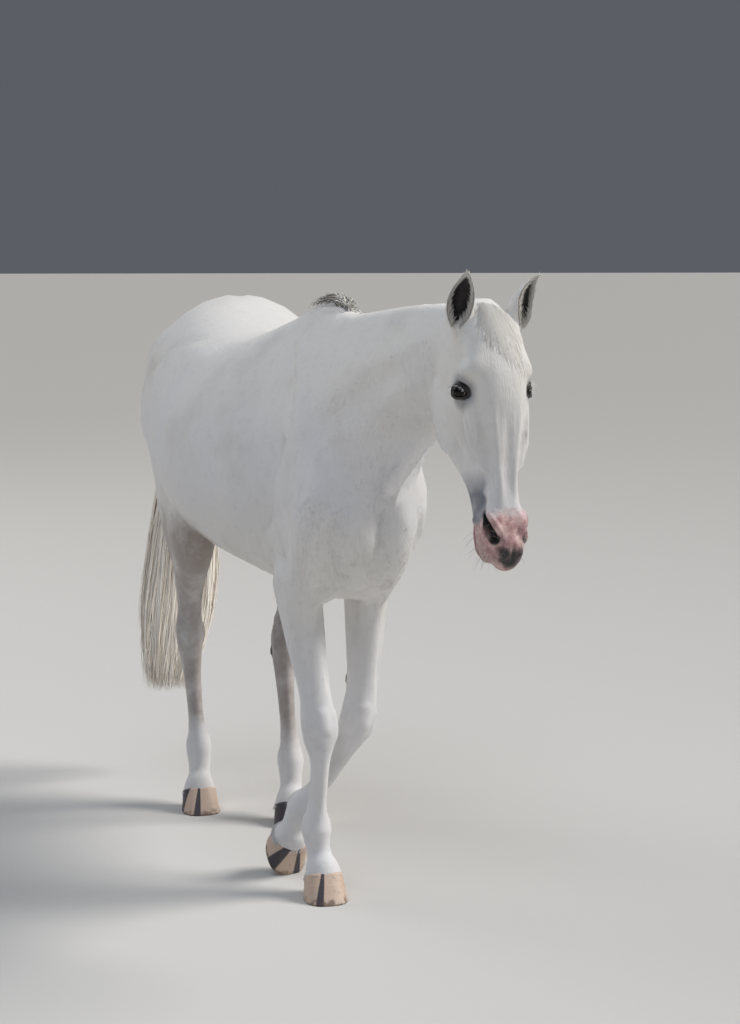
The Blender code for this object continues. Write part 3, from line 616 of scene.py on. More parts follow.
# the head is modelled twice as fine as the body, and the eyes, nostrils and lips twice as fine again
EYE = (0.085, -0.048, -0.199)       # the left eye, in the head's frame
finer(skin, lambda places: (np.abs(in_head(places) - [0, 0.02, -0.24]) < [0.16, 0.24, 0.43]).all(axis=1))
FINE_SPOTS = ([(to_head(s * EYE[0], EYE[1], EYE[2]), 0.046) for s in (-1, 1)]
              + [(to_head(s * .040, -.080, -.530), 0.042) for s in (-1, 1)]
              + [(to_head(0, -.020, -.590), 0.062)])
finer(skin, lambda places: sum(sphere_share(places, spot, size * 0.98, size)
                               for spot, size in FINE_SPOTS) > 0.5)
relax(skin, 6, lambda places: 0.5 * (in_head(places)[:, 2] < 0.02)
      * (np.abs(in_head(places)[:, 0]) < 0.13) * (in_head(places)[:, 1] < 0.22))

# the bone over each eye is smooth under its coat
for s in (-1, 1):
    brow = to_head(s * .062, -.105, -.118)
    relax(skin, 160, lambda places: .9 * sphere_share(places, brow, .026, .056))

skin_at, skin_out = read_skin()


def refresh():
    """Takes the skin's normals afresh after a pass of modelling."""
    global skin_at, skin_out
    write_skin()
    skin_at, skin_out = read_skin()


def head_line(points, width, depth, facing=(1, 0, 0), reach=0.03):
    """The same soft line on both sides of the head; points and facing are for the left side."""
    for s in (-1, 1):
        line = [to_head(s * x, y, z) for x, y, z in points]
        turned = head_frame.to_3x3() @ Vector((s * facing[0], facing[1], facing[2]))
        carve(line, width, depth, tuple(turned), reach)


def body_line(points, width, depth, facing=(1, 0, 0), reach=0.09):
    """The same soft line on both sides of the body; points and facing are for the left side."""
    for s in (-1, 1):
        line = [(s * x, y, z) for x, y, z in points]
        carve(line, width, depth, (s * facing[0], facing[1], facing[2]), reach)


# --- skull: cheek bone, nasal bones, hollow over the eye, cheek muscle, jaw
head_line([(.084, -.050, -.240), (.072, -.058, -.300), (.057, -.062, -.360)], .013, .0085, (1, -.25, 0))
head_line([(.084, -.022, -.262), (.070, -.030, -.330), (.057, -.038, -.385)], .024, -.0078)
head_line([(.058, -.085, -.290), (.046, -.082, -.370), (.042, -.078, -.450)], .026, -.0060, (1, -.4, 0))
head_line([(.034, -.115, -.215), (.030, -.108, -.330), (.025, -.105, -.470)], .015, .0040, (.45, -1, 0))
head_line([(.000, -.125, -.250), (.000, -.112, -.480)], .018, -.0022, (0, -1, 0))
head_line([(.072, -.066, -.134)], .024, -.0045, (1, -.7, .2))
head_line([(.076, -.078, -.178), (.088, -.050, -.156), (.090, -.020, -.166)], .014, .0010, (1, -.5, .2))
head_line([(.062, .020, -.285), (.058, .030, -.345), (.052, .062, -.385)], .022, -.0055)
head_line([(.070, .020, -.200), (.066, .090, -.160)], .030, -.0035)
head_line([(.050, .075, -.400), (.060, .130, -.355), (.066, .180, -.270), (.060, .190, -.180)], .020, .0040)
head_line([(.000, .050, -.440), (.000, .110, -.360), (.000, .180, -.200)], .030, -.0140, (0, 1, 0), .06)
# the vein from the corner of the eye, which crosses the end of the cheek bone
head_line([(.080, -.088, -.225), (.066, -.086, -.300), (.056, -.062, -.362), (.050, -.020, -.420)],
          .006, .0022, (1, -.35, 0))
head_line([(.056, -.062, -.362), (.044, -.086, -.405), (.040, -.092, -.440)], .006, .0028, (1, -.5, 0))

# --- body: neck, shoulder, breast, flank and rump
body_line([(.05, -.600, 1.370), (.10, -.470, 1.230), (.13, -.375, 1.090)], .045, -.0170)
body_line([(.06, -.660, 1.500), (.10, -.470, 1.430), (.13, -.280, 1.330), (.16, -.190, 1.200)], .050, -.0100)
body_line([(.06, -.620, 1.570), (.09, -.400, 1.530), (.09, -.180, 1.500)], .050, -.0050)
body_line([(.10, .000, 1.560), (.16, -.140, 1.380), (.18, -.270, 1.180)], .042, .0100)
body_line([(.12, .050, 1.540), (.19, -.050, 1.400), (.20, -.100, 1.320)], .045, -.0080)
body_line([(.15, .110, 1.500), (.22, .100, 1.330), (.24, .030, 1.200)], .040, -.0080)
body_line([(.26, .080, 1.250), (.25, .110, 1.150), (.23, .130, 1.060)], .075, .0120)
body_line([(.26, -.110, 1.400), (.27, -.090, 1.280), (.25, -.060, 1.160), (.24, -.040, 1.060),
           (.21, .070, .940)], .034, -.0100)
body_line([(.20, -.150, 1.080), (.19, -.060, 1.060), (.18, .020, 1.010)], .034, -.0060)
carve([(0, -.400, 1.180), (0, -.385, 1.050), (0, -.330, .930)], .028, -.0200, (0, -1, -.2), .10)
body_line([(.075, -.380, 1.150), (.085, -.370, 1.040), (.060, -.330, .950)], .055, .0080, (0, -1, 0), .10)
body_line([(.130, -.330, 1.080), (.135, -.330, .980), (.105, -.290, .880)], .022, -.0170, (.3, -1, 0), .10)
body_line([(.105, -.350, 1.120), (.120, -.345, 1.050), (.105, -.345, .960)], .016, -.0070, (.2, -1, 0), .10)
body_line([(.090, -.330, .930), (.070, -.300, .880)], .014, -.0090, (.2, -1, -.3), .10)
body_line([(.24, .690, 1.400), (.28, .620, 1.250)], .080, -.0140)
body_line([(.24, .780, 1.480), (.26, .800, 1.440)], .055, .0080)
body_line([(.27, .660, 1.180), (.25, .640, 1.050), (.20, .640, .960)], .045, -.0090)
body_line([(.24, .760, 1.200), (.24, .720, 1.060), (.22, .690, .960)], .035, .0050)
body_line([(.20, .600, 1.546), (.235, .800, 1.470), (.25, .980, 1.370), (.25, 1.157, 1.130)], .018, -.0070,
          (1, .2, .5))
body_line([(.22, .900, 1.480), (.26, .960, 1.280), (.24, .980, 1.080)], .055, -.0045)
carve([(0, .700, 1.590), (0, .950, 1.650), (0, 1.160, 1.580)], .034, -.0045, (0, 0, 1), .10)
carve([(0, .120, 1.620), (0, .500, 1.550)], .045, .0040, (0, 0, 1), .10)
refresh()


# --- legs: bones and tendons, placed by their station on the leg and the turn round it
def leg_point(kind, station, turn):
    """A point near a leg's surface and its way out; turn 0 is the outer side, 90 the front, 270 the back."""
    joints, sections = kind
    joints = np.array(joints)
    line = through([(k, *p) for k, p in enumerate(joints)], 40 * (len(joints) - 1) + 1)
    centre = [np.interp(station, line[:, 0], line[:, k]) for k in (1, 2, 3)]
    ahead = [np.interp(station + 0.05, line[:, 0], line[:, k]) for k in (1, 2, 3)]
    along = unit(np.array(ahead) - centre)
    side = math.copysign(1, joints[0][0])
    front = unit(np.cross(along, [1, 0, 0]))
    out = unit(np.cross(front, along)) * side
    sections = np.array(sections)
    size = [np.interp(station, sections[:, 0], sections[:, k]) for k in (1, 2, 3, 4)]
    c, s = math.cos(math.radians(turn)), math.sin(math.radians(turn))
    way = out * c * (size[2] if c > 0 else size[3]) + front * s * (size[0] if s > 0 else size[1])
    return np.array(centre) + way, unit(way)


def leg_line(kind, stops, width, depth):
    """A soft line on one leg through (station, turn) stops."""
    found = [leg_point(kind, *stop) for stop in stops]
    carve([p for p, _ in found], width, depth, sum(way for _, way in found), 0.035)


for name, j in LEGS.items():
    front_leg = "elbow" in j
    kind = fore(j) if front_leg else hind(j)
    for inner in (0, 1):
        flip = (lambda turn: 180 - turn) if inner else (lambda turn: turn)
        # the groove between the cannon bone and the flexor tendons, and the one between the tendons
        leg_line(kind, [(2.22, flip(-38)), (2.50, flip(-36)), (2.80, flip(-34))], .010, -.0055)
        leg_line(kind, [(2.25, flip(-62)), (2.80, flip(-62))], .007, -.0022)
        # ankle: the two sesamoid bulges and the hollow above them
        leg_line(kind, [(2.92, flip(-50)), (3.02, flip(-50))], .028, .0045)
        leg_line(kind, [(2.82, flip(-15)), (2.86, flip(-15))], .020, -.0025)
        leg_line(kind, [(2.93, flip(18)), (3.02, flip(18))], .026, .0018)
        if front_leg:
            leg_line(kind, [(1.92, flip(25)), (2.07, flip(28))], .026, .0042)
            leg_line(kind, [(2.10, flip(0)), (2.02, flip(-20)), (1.90, flip(-25))], .014, -.0035)
            leg_line(kind, [(1.20, flip(55)), (1.60, flip(50)), (1.82, flip(40))], .016, -.0050)
            leg_line(kind, [(1.20, flip(-25)), (1.55, flip(-25)), (1.80, flip(-25))], .016, -.0045)
        else:
            leg_line(kind, [(1.55, flip(-38)), (1.75, flip(-38)), (1.92, flip(-30))], .022, -.0110)
            leg_line(kind, [(1.96, flip(20)), (2.08, flip(25))], .018, .0045)
            leg_line(kind, [(2.04, flip(-10)), (2.14, flip(-5))], .014, -.0030)
            leg_line(kind, [(1.25, flip(30)), (1.55, flip(40)), (1.80, flip(55))], .022, -.0050)
    if front_leg:
        leg_line(kind, [(1.90, 90), (1.98, 90)], .030, .0050)
        leg_line(kind, [(2.05, 70), (2.06, 110)], .010, -.0020)
        leg_line(kind, [(2.00, 272)], .018, .0060)
        chestnut = leg_point(kind, 1.72, 200)
    else:
        leg_line(kind, [(2.00, 90), (2.10, 90)], .016, -.0030)
        chestnut = leg_point(kind, 2.10, 195)
    leg_line(kind, [(3.20, 270), (3.30, 270)], .018, -.0060)
    leg_line(kind, [(2.98, 270), (3.06, 270)], .020, .0050)
    j["chestnut"] = chestnut[0]
    carve([chestnut[0] - [0, 0, .018], chestnut[0] + [0, 0, .018]], .011, .0050, chestnut[1], 0.04)
refresh()

# --- muzzle: lips, chin, nostrils
head_line([(.052, .012, -.512), (.044, .006, -.550), (.032, .000, -.590)], .014, .0030, (1, 0, -.3))
# the slit between the lips, from the left corner of the mouth to the middle
LIPS = [(.053, .010, -.508), (.048, .004, -.545), (.036, -.004, -.584), (.018, -.014, -.612),
        (0, -.018, -.620)]
head_line(LIPS, .0075, -.0080, (1, 0, -.55), .05)
head_line([(.052, .020, -.500), (.058, .008, -.500)], .012, .0030)
head_line([(.030, .026, -.560)], .022, -.0030, (1, 0, 0))
head_line([(0, -.104, -.556), (0, -.080, -.610)], .007, -.0020, (0, -1, -.3))
head_line([(.020, -.095, -.585)], .020, .0030, (.3, -1, -.5))
NOSTRIL = [(.051, -.067, -.500), (.050, -.077, -.516), (.046, -.084, -.533), (.039, -.089, -.549)]
head_line([(.056, -.046, -.500), (.056, -.056, -.530), (.046, -.070, -.558), (.034, -.084, -.566)],
          .012, .0045, (1, -.5, -.2))
head_line([(.050, -.062, -.476), (.044, -.092, -.500), (.032, -.106, -.530), (.022, -.104, -.550)],
          .011, .0045, (.8, -1, 0))
head_line([(.048, -.050, -.470), (.044, -.062, -.440)], .014, -.0030, (1, -.4, 0))
refresh()
for s in (-1, 1):
    inward = head_frame.to_3x3() @ Vector((-s * .72, .55, .42))
    line = np.array([to_head(s * x, y, z) for x, y, z in NOSTRIL])
    knots = np.linspace(0, len(line) - 1, 40)
    line = np.stack([np.interp(knots, range(len(line)), line[:, k]) for k in range(3)], axis=1)
    near = np.flatnonzero(np.linalg.norm(skin_at - line.mean(0), axis=1) < 0.06)
    p = skin_at[near]
    gap = p[:, None, :] - line[None]
    gap -= (gap @ np.array(inward))[..., None] * np.array(inward)
    round_it = np.linalg.norm(gap, axis=2).min(axis=1)
    hole = np.interp(knots / 3, (0, .35, .75, 1), (.0075, .0125, .0135, .0095))
    wide = hole[np.linalg.norm(gap, axis=2).argmin(axis=1)]
    u = np.clip((1.12 - round_it / wide) / 0.42, 0, 1)
    skin_at[near] += (u * u * (3 - 2 * u) * 0.030)[:, None] * np.array(inward)
refresh()

# --- eyelids: the skin hugs the ball and is open in an almond, long from corner to corner
EYE_RADIUS = 0.0235
EYE_GAZE = (.90, -.42, -.04)
EYE_SUNK = 0.0075           # the ball sits this much deeper than its stand-in
LID = 0.0036                # thickness of the lids
LID_GAP = 0.0012            # the least the finished skin stands off the ball
NOSE_CORNER = 0.0250        # the lower lid's corner towards the nose runs out to a point
EAR_CORNER = 0.0225
eye_frames = []
for s in (-1, 1):
    centre = to_head(s * EYE[0], EYE[1], EYE[2])
    turn = head_frame.to_3x3()
    gaze = unit(np.array(turn @ Vector((s * EYE_GAZE[0], EYE_GAZE[1], EYE_GAZE[2]))))
    corner = np.array(turn @ Vector((s * .35, .80, .30)))        # towards the outer corner
    corner = unit(corner - gaze * (corner @ gaze))
    upward = np.cross(gaze, corner) * s
    centre = centre - gaze * EYE_SUNK
    eye_frames.append((centre, gaze, corner, upward))
    near = np.flatnonzero(np.linalg.norm(skin_at - centre, axis=1) < 0.055)
    q = skin_at[near] - centre
    a, b, w = q @ corner, q @ upward, q @ gaze
    half_high = np.where(b > 0, .0162, .0132)
    half_long = np.where(a < 0, NOSE_CORNER, EAR_CORNER)
    ring = np.sqrt((a / half_long) ** 2 + (b / half_high) ** 2)
    r = np.linalg.norm(q, axis=1)
    hug = np.clip((2.3 - ring) / 1.1, 0, 1)
    hug = hug * hug * (3 - 2 * hug)
    wanted = EYE_RADIUS + LID + 0.0040 * np.clip(ring - 1, 0, 1)
    new_r = np.where(r < wanted, wanted, r + (wanted - r) * hug)
    front = (w > -0.004) | (r < wanted + .002)
    rim = (ring > 0.90) & (ring < 1.08)
    pull = np.where(rim, 1 / np.maximum(ring, 1e-6), 1.0)
    a2, b2 = a * pull, b * pull
    new_r = np.where(ring < 0.90, EYE_RADIUS - 0.0045, new_r)
    flat2 = a2 ** 2 + b2 ** 2
    high = np.sqrt(np.maximum(new_r ** 2 - flat2, 1e-8))
    moved = centre + a2[:, None] * corner + b2[:, None] * upward + high[:, None] * gaze
    radial = centre + q / np.maximum(r, 1e-6)[:, None] * new_r[:, None]
    # the lids wrap the ball to its widest, and fall to the cheek behind it
    over = np.where(ring < 1.08, 1, np.clip((.0245 - np.sqrt(a ** 2 + b ** 2)) / .0035, 0, 1))[:, None]
    target = radial + (moved - radial) * over
    skin_at[near[front]] = target[front]
refresh()


def bell(x, low, high, soft):
    """1 between low and high, fading over soft on both sides."""
    return np.clip((x - low) / soft + 1, 0, 1) * np.clip((high - x) / soft + 1, 0, 1)


SLIT_LONG, SLIT_HIGH = .0235, .0150         # mean half-sizes of the slit between the lids


def round_eye(places):
    """How far places are out from the eyes' slits, in slits' sizes."""
    found = np.full(len(places), 9.0)
    for centre, gaze, corner, upward in eye_frames:
        q = places - centre
        ring = np.hypot(q @ corner / SLIT_LONG, q @ upward / SLIT_HIGH)
        found = np.where(np.linalg.norm(q, axis=1) < .055, ring, found)
    return found


relax(skin, 12, lambda places: .6 * bell(round_eye(places), 1.55, 2.4, .25))
skin_at, skin_out = read_skin()
for centre, *_ in eye_frames:
    q = skin_at - centre
    r = np.linalg.norm(q, axis=1)
    ring = round_eye(skin_at)
    sunk = (r < EYE_RADIUS + LID) & (ring > 1.2)
    skin_at[sunk] = centre + q[sunk] * ((EYE_RADIUS + LID) / r[sunk])[:, None]
refresh()
for s, (centre, gaze, corner, upward) in zip((-1, 1), eye_frames):
    def arc(size_a, size_b, start, stop):
        return [centre + corner * math.cos(t) * size_a + upward * math.sin(t) * size_b + gaze * .018
                for t in np.radians(np.linspace(start, stop, 12))]
    carve(arc(.030, .0225, 15, 165), .0050, -.0026, gaze, .03)        # fold of the upper lid
    carve(arc(.036, .0300, 25, 150), .0065, .0026, gaze, .03)
    carve(arc(.041, .0360, 40, 140), .0050, -.0018, gaze, .03)
    carve(arc(.031, .0210, 200, 335), .0045, -.0020, gaze, .03)       # folds under the eye
    carve(arc(.037, .0275, 205, 330), .0050, -.0016, gaze, .03)
    carve(arc(.0240, .0168, 0, 360), .0035, .0008, gaze, .03)         # the lids' thick margin
refresh()

# the skin lies a coat's depth inside the flesh; the ears are too thin to draw in, and the lids stay where
# they are
left_alone = np.zeros(len(skin_at))
for foot in ear_feet:
    left_alone += sphere_share(skin_at, foot + np.array([0, 0, 0.07]), 0.078, 0.10)
for centre, *_ in eye_frames:
    left_alone += sphere_share(skin_at, centre, .036, .050)
skin_at -= skin_out * (COAT * np.clip(1 - left_alone, 0, 1))[:, None]
for centre, gaze, corner, upward in eye_frames:
    q = skin_at - centre
    r = np.linalg.norm(q, axis=1)
    ring = round_eye(skin_at)
    sunk = (r < EYE_RADIUS + LID_GAP) & (ring > .93) & (q @ gaze > 0)
    skin_at[sunk] = centre + q[sunk] / r[sunk, None] * (EYE_RADIUS + LID_GAP)
write_skin()

# then it is thinned where it is plain, and less on the legs and the head
SKIN_TRIANGLES = 197000
at_head = in_head(skin_at)
loose = 1 - 0.72 * (np.abs(at_head - [0, 0.02, -0.20]) < [0.17, 0.26, 0.50]).all(axis=1)
for spot, size in FINE_SPOTS:
    loose = np.minimum(loose, 1 - 0.88 * sphere_share(skin_at, spot, size * 0.8, size))
loose = np.where((skin_at[:, 2] < .62) & (skin_at[:, 2] > .05), .60, loose)
group = skin.vertex_groups.new(name="loose")
for level in np.unique(np.round(loose, 2)):
    group.add(np.flatnonzero(np.round(loose, 2) == level).tolist(), float(level), "REPLACE")
now = sum(len(p.vertices) - 2 for p in skin.data.polygons)
thin = skin.modifiers.new("thin", "DECIMATE")
thin.vertex_group = "loose"
thin.vertex_group_factor = 1.0
thin.ratio = min(1.0, SKIN_TRIANGLES / now)
settled(skin)
skin.data.shade_smooth()
skin.vertex_groups.clear()
skin_at, skin_out = read_skin()

# the finished skin, and every piece after it, moves to the frame's place
SHIFT = Vector(sum(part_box("eye_right"), Vector()) / 2) - Vector(to_head(-EYE[0], EYE[1], EYE[2]))


def finished(obj, material, slot, *nodes):
    """Puts a piece in the frame's place, gives it its material and lets it stand for its nodes."""
    obj.data.transform(Matrix.Translation(SHIFT))
    obj.data.materials.clear()
    obj.data.materials.append(material)
    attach(obj, "root")
    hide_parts(*nodes)
    return obj


def linear(code):
    """An sRGB hex colour as linear RGBA."""
    parts = [int(code[k:k + 2], 16) / 255 for k in (1, 3, 5)]
    return tuple(c / 12.92 if c <= 0.04045 else ((c + 0.055) / 1.055) ** 2.4 for c in parts) + (1.0,)


def add(tree, kind, settings=None, **links):
    """Adds a node; settings go to its properties or its inputs, links join its inputs to outputs."""
    node = tree.nodes.new("ShaderNode" + kind)
    for key, value in (settings or {}).items():
        if hasattr(node, key):
            setattr(node, key, value)
        else:
            node.inputs[key.replace("_", " ")].default_value = value
    for key, source in links.items():
        tree.links.new(source, node.inputs[int(key[1:]) if key[1:].isdigit() else key.replace("_", " ")])
    return node


# ================================================================ the white coat and the bare skin
# A grey that has turned white: short hair over dark skin, pink at the muzzle, bare or thin-haired at nose,
# lips, eyes and ears. Where each marking lies is worked out from the animal's shape and kept as fields on
# the mesh, and skin and hair read the same ones. Some fields also carry painted shade and painted warm
# light from the floor, as said where each is made.
def near_line(places, line, count=24):
    """How far the places are from a line."""
    line = np.array(line, float)
    knots = np.linspace(0, len(line) - 1, count)
    line = np.stack([np.interp(knots, range(len(line)), line[:, k]) for k in range(3)], axis=1)
    return np.min([np.linalg.norm(places - p, axis=1) for p in line], axis=0)


def markings(places):
    """Fields over points of the animal, painted shade among them; those ending in _edge are metres inside the
    edge of a marking or of painted shade.
    """
    at = in_head(places)
    side = np.abs(at[:, 0])
    mirrored = np.stack([side, at[:, 1], at[:, 2]], axis=1)
    on_head = (side < .13) & (at[:, 1] < .26) & (at[:, 2] > -.66)
    marks = {}
    back_of_nose = np.clip((at[:, 1] + .060) / .030, 0, 1)
    marks["pink_edge"] = (-.480 - .028 * back_of_nose - at[:, 2]) * (.35 + .65 * back_of_nose)
    # the nostrils are painted near-black, as shade in their hollows that runs onto their rims
    inward = unit(np.array([-.72, .55, .42]))
    flat = mirrored - (mirrored @ inward)[:, None] * inward
    rim = [np.array(p) - (np.array(p) @ inward) * inward for p in NOSTRIL]
    marks["nostril_edge"] = np.where(at[:, 2] < -.46, .0150 - near_line(flat, rim), -.1)
    # the slit between the lips is painted near-black, as shade
    marks["lip_slit_shade_edge"] = .0045 - near_line(mirrored, LIPS)
    # darker over the front of the upper lip's lower edge, above the mouth
    marks["lip_front_dark_edge"] = .022 - near_line(mirrored, [(0, -.080, -.600), (.014, -.088, -.585)], 4)
    # the slate patch on the side of the muzzle, with an uneven edge: grey skin under thin hair, with painted
    # bluish shade in it
    uneven = at[:, 1] + .005 * np.sin(75 * at[:, 2]) + .003 * np.sin(190 * at[:, 2])
    marks["thin_hair_and_shade"] = .9 * (bell(at[:, 2], -.500, -.440, .060) * bell(uneven, -.054, .075, .012)
                               * np.clip((side - .020) / .02, 0, 1))
    for centre, gaze, corner, upward in eye_frames:
        q = places - centre
        a, b = q @ corner, q @ upward
        half_long, half_high = np.where(a < 0, NOSE_CORNER, EAR_CORNER), np.where(b > 0, .0178, .0134)
        ring = np.sqrt((a / half_long) ** 2 + (b / half_high) ** 2)
        field = np.where(np.linalg.norm(q, axis=1) < .06, 1.58 - ring, -1) * .02
        marks["eye_edge"] = np.maximum(marks.get("eye_edge", -1), field)
        # round each eye: grey skin under thin hair, with painted bluish shade in it
        marks["thin_hair_and_shade"] = np.maximum(marks["thin_hair_and_shade"], .75 * sphere_share(places, centre, .026, .062))
    for name in marks:
        marks[name] = np.where(on_head, marks[name], 0 if name == "thin_hair_and_shade" else -.1)
    x, y, z = places.T
    hind = (y > .45) & (z < 1.12)
    front = (y < .30) & (z < .62)
    # The belly's band is painted warm shade along its underside, as thrown up from the floor, and the backs
    # of the thighs under the tail are darker brown.
    # brown stain on the knees and hind legs; on the hind legs it also paints the shade on the thighs under
    # the flank and on the gaskins.
    marks["stain_and_shade"] = (hind * (bell(z, .30, .91, .18) * .74)
                      + front * bell(z, .42, .50, .07) * .40
                      + bell(y, -.05, .60, .20) * bell(z, .80, .93, .10) * .34
                      + (y > 1.10) * bell(z, .95, 1.30, .25) * .35)
    # cream tone along the top line; the band low on the belly is painted warm light, as thrown up from the
    # floor
    marks["warm_tone_and_bounce"] = np.clip(.35 + .5 * bell(z, 1.45, 1.70, .20) + .35 * bell(z, .80, .98, .12), 0, 1)
    marks["chestnut_edge"] = np.full(len(places), -.1)
    for j in LEGS.values():
        gap = np.linalg.norm((places - j["chestnut"]) * [1, 1, .45], axis=1)
        marks["chestnut_edge"] = np.maximum(marks["chestnut_edge"], .010 - gap)
    marks["lies_back"] = np.clip((z - .95) / .25, 0, 1) * np.clip((y + .45) / .25, 0, 1)
    return marks


def write_marks(obj, marks):
    """Keeps each field on the object's points."""
    for name, values in marks.items():
        field = obj.data.attributes.new(name, "FLOAT", "POINT")
        field.data.foreach_set("value", np.asarray(values, np.float32))


skin_marks = markings(skin_at)
# the hollow side of each ear
skin_marks["ear_edge"] = np.full(len(skin_at), -.1)
for s in (-1, 1):
    into_ear = np.array((head_frame @ ear_stand(s)).inverted())
    at = skin_at @ into_ear[:3, :3].T + into_ear[:3, 3]
    out = skin_out @ into_ear[:3, :3].T
    t = np.clip(at[:, 2] / EAR_LENGTH, 0, 1)
    at[:, :2] -= ear_bend(t)
    gap = np.hypot(at[:, 0], at[:, 1])
    inward = -(out[:, 0] * at[:, 0] + out[:, 1] * at[:, 1]) / np.maximum(gap, 1e-6)
    here = ((gap < np.interp(t, (0, .3, 1), (.036, .040, .036)))
            & (at[:, 2] > -.004) & (at[:, 2] < EAR_LENGTH * 1.02))
    to_rim = (ear_roll(t) - np.abs(np.arctan2(at[:, 0], at[:, 1]))) * ear_width(t)
    field = np.where(here, np.minimum((inward - .25) * .02, to_rim - .0075), -.1)
    field = np.minimum(field, (.94 - t) * EAR_LENGTH)
    skin_marks["ear_edge"] = np.maximum(skin_marks["ear_edge"], field)
write_marks(skin, skin_marks)


# Short summer coat over skin: white hair, 10 mm long and sleek, so matt with a faint sheen; bare
# pink or slate-grey skin at the muzzle and eyes is smoother. Streaks of hair are drawn 3 mm wide. Its
# colour also holds painted shade on the hind legs, under the belly, in the slate patches, the nostrils and
# the lips' slit, and painted warm light from the floor low on the belly.
def coat_material(name):
    coat = bpy.data.materials.new(name)
    coat.use_nodes = True
    tree = coat.node_tree
    shader = tree.nodes["Principled BSDF"]
    shader.inputs["IOR"].default_value = 1.45
    shader.inputs["Sheen Weight"].default_value = 0.12
    shader.inputs["Sheen Roughness"].default_value = 0.6
    place = add(tree, "TexCoord").outputs["Object"]

    def mark(field):
        return add(tree, "Attribute", {"attribute_name": field}).outputs["Fac"]

    def noise(scale, detail=3.0, source=place, rough=0.5):
        return add(tree, "TexNoise", {"Scale": scale, "Detail": detail, "Roughness": rough},
                   Vector=source).outputs["Fac"]

    def maths(kind, a, b=0.5):
        node = add(tree, "Math", {"operation": kind})
        for socket, value in zip(node.inputs, (a, b)):
            if isinstance(value, (int, float)):
                socket.default_value = value
            else:
                tree.links.new(value, socket)
        return node.outputs[0]

    def ramp(value, low, high, to_low=0.0, to_high=1.0):
        return add(tree, "MapRange", {"interpolation_type": "SMOOTHSTEP", "From Min": low, "From Max": high,
                                      "To Min": to_low, "To Max": to_high}, Value=value).outputs[0]

    def blend(share, a, b):
        node = add(tree, "Mix", {"data_type": "RGBA"})
        for key, value in ((0, share), (6, a), (7, b)):
            if isinstance(value, str):
                node.inputs[key].default_value = linear(value)
            elif isinstance(value, float):
                node.inputs[key].default_value = value
            else:
                tree.links.new(value, node.inputs[key])
        return node.outputs[2]

    cloud = noise(5.0, 4.0)
    mottle = noise(38.0, 3.0)
    # cream tone, with painted warm light from the floor low on the belly
    warm = maths("ADD", mark("warm_tone_and_bounce"), maths("MULTIPLY", cloud, 0.9))
    white = blend(ramp(warm, .4, 1.4), "#dfdfe2", "#e6e3de")
    white = blend(maths("MULTIPLY", ramp(cloud, .50, .72), .28), white, "#b9b6b3")
    white = blend(maths("MULTIPLY", ramp(mottle, .52, .72), .09), white, "#a9a7a8")
    flecks = add(tree, "TexVoronoi", {"feature": "F1", "Scale": 42.0}, Vector=place).outputs["Distance"]
    few = ramp(noise(9.0), .56, .66)
    white = blend(maths("MULTIPLY", maths("MULTIPLY", ramp(flecks, .16, .06), few), .10), white, "#8d7f76")
    # brown stain mixed with painted shade on the hind thighs and gaskins, and painted warm shade under the
    # belly
    patchy = ramp(maths("ADD", noise(16.0, 6.0, rough=.6), mark("stain_and_shade")), .70, 1.45)
    browned_and_shaded = maths("MULTIPLY", mark("stain_and_shade"), patchy)
    white = blend(maths("MULTIPLY", browned_and_shaded, .92), white, "#7d6b60")
    # slate grey on the muzzle's sides and round the eyes: skin under thin hair, with painted bluish shade in
    # it
    thin = maths("MULTIPLY", mark("thin_hair_and_shade"), ramp(noise(30.0, 4.0), .20, .60, .70, 1.0))
    colour = blend(thin, white, "#5d616e")

    wander = maths("MULTIPLY", maths("SUBTRACT", noise(60.0, 5.0, rough=.65), .5), .020)
    pink_edge = maths("ADD", mark("pink_edge"), wander)
    pink = ramp(pink_edge, -.004, .010)
    flesh_pink = blend(ramp(noise(45.0, 5.0), .38, .62), "#b58a8a", "#d8b8b3")
    flesh_pink = blend(ramp(pink_edge, .012, .085, 0, .55), flesh_pink, "#8a6a66")
    pores = maths("MULTIPLY", ramp(noise(110.0, 5.0, rough=.7), .50, .66), .42)
    flesh_pink = blend(pores, flesh_pink, "#6f5c5a")
    colour = blend(pink, colour, flesh_pink)
    # near-black: dark skin at the eyes, ears and chestnuts, painted shade in the nostrils and the slit
    # between the lips, and a dark patch over the front of the upper lip's lower edge; how much each edge
    # wanders, and over what distance it fades in
    dark = ramp(maths("ADD", mark("lip_front_dark_edge"), wander), -.006, .008)
    for marking, loose, low, high in (("nostril_edge", 0, -.002, .0045), ("eye_edge", .25, .0, .006),
                                      ("lip_slit_shade_edge", 0, .0, .004), ("ear_edge", .35, .0, .009),
                                      ("chestnut_edge", .3, .0, .003)):
        edge = mark(marking)
        if loose:
            edge = maths("ADD", edge, maths("MULTIPLY", wander, loose))
        dark = maths("MAXIMUM", dark, ramp(edge, low, high))
    colour = blend(dark, colour, blend(ramp(noise(70.0), .35, .65), "#1c1819", "#35302f"))
    tree.links.new(colour, shader.inputs["Base Color"])
    bare = maths("MAXIMUM", dark, pink)
    tree.links.new(ramp(bare, 0.0, 1.0, .62, .44), shader.inputs["Roughness"])

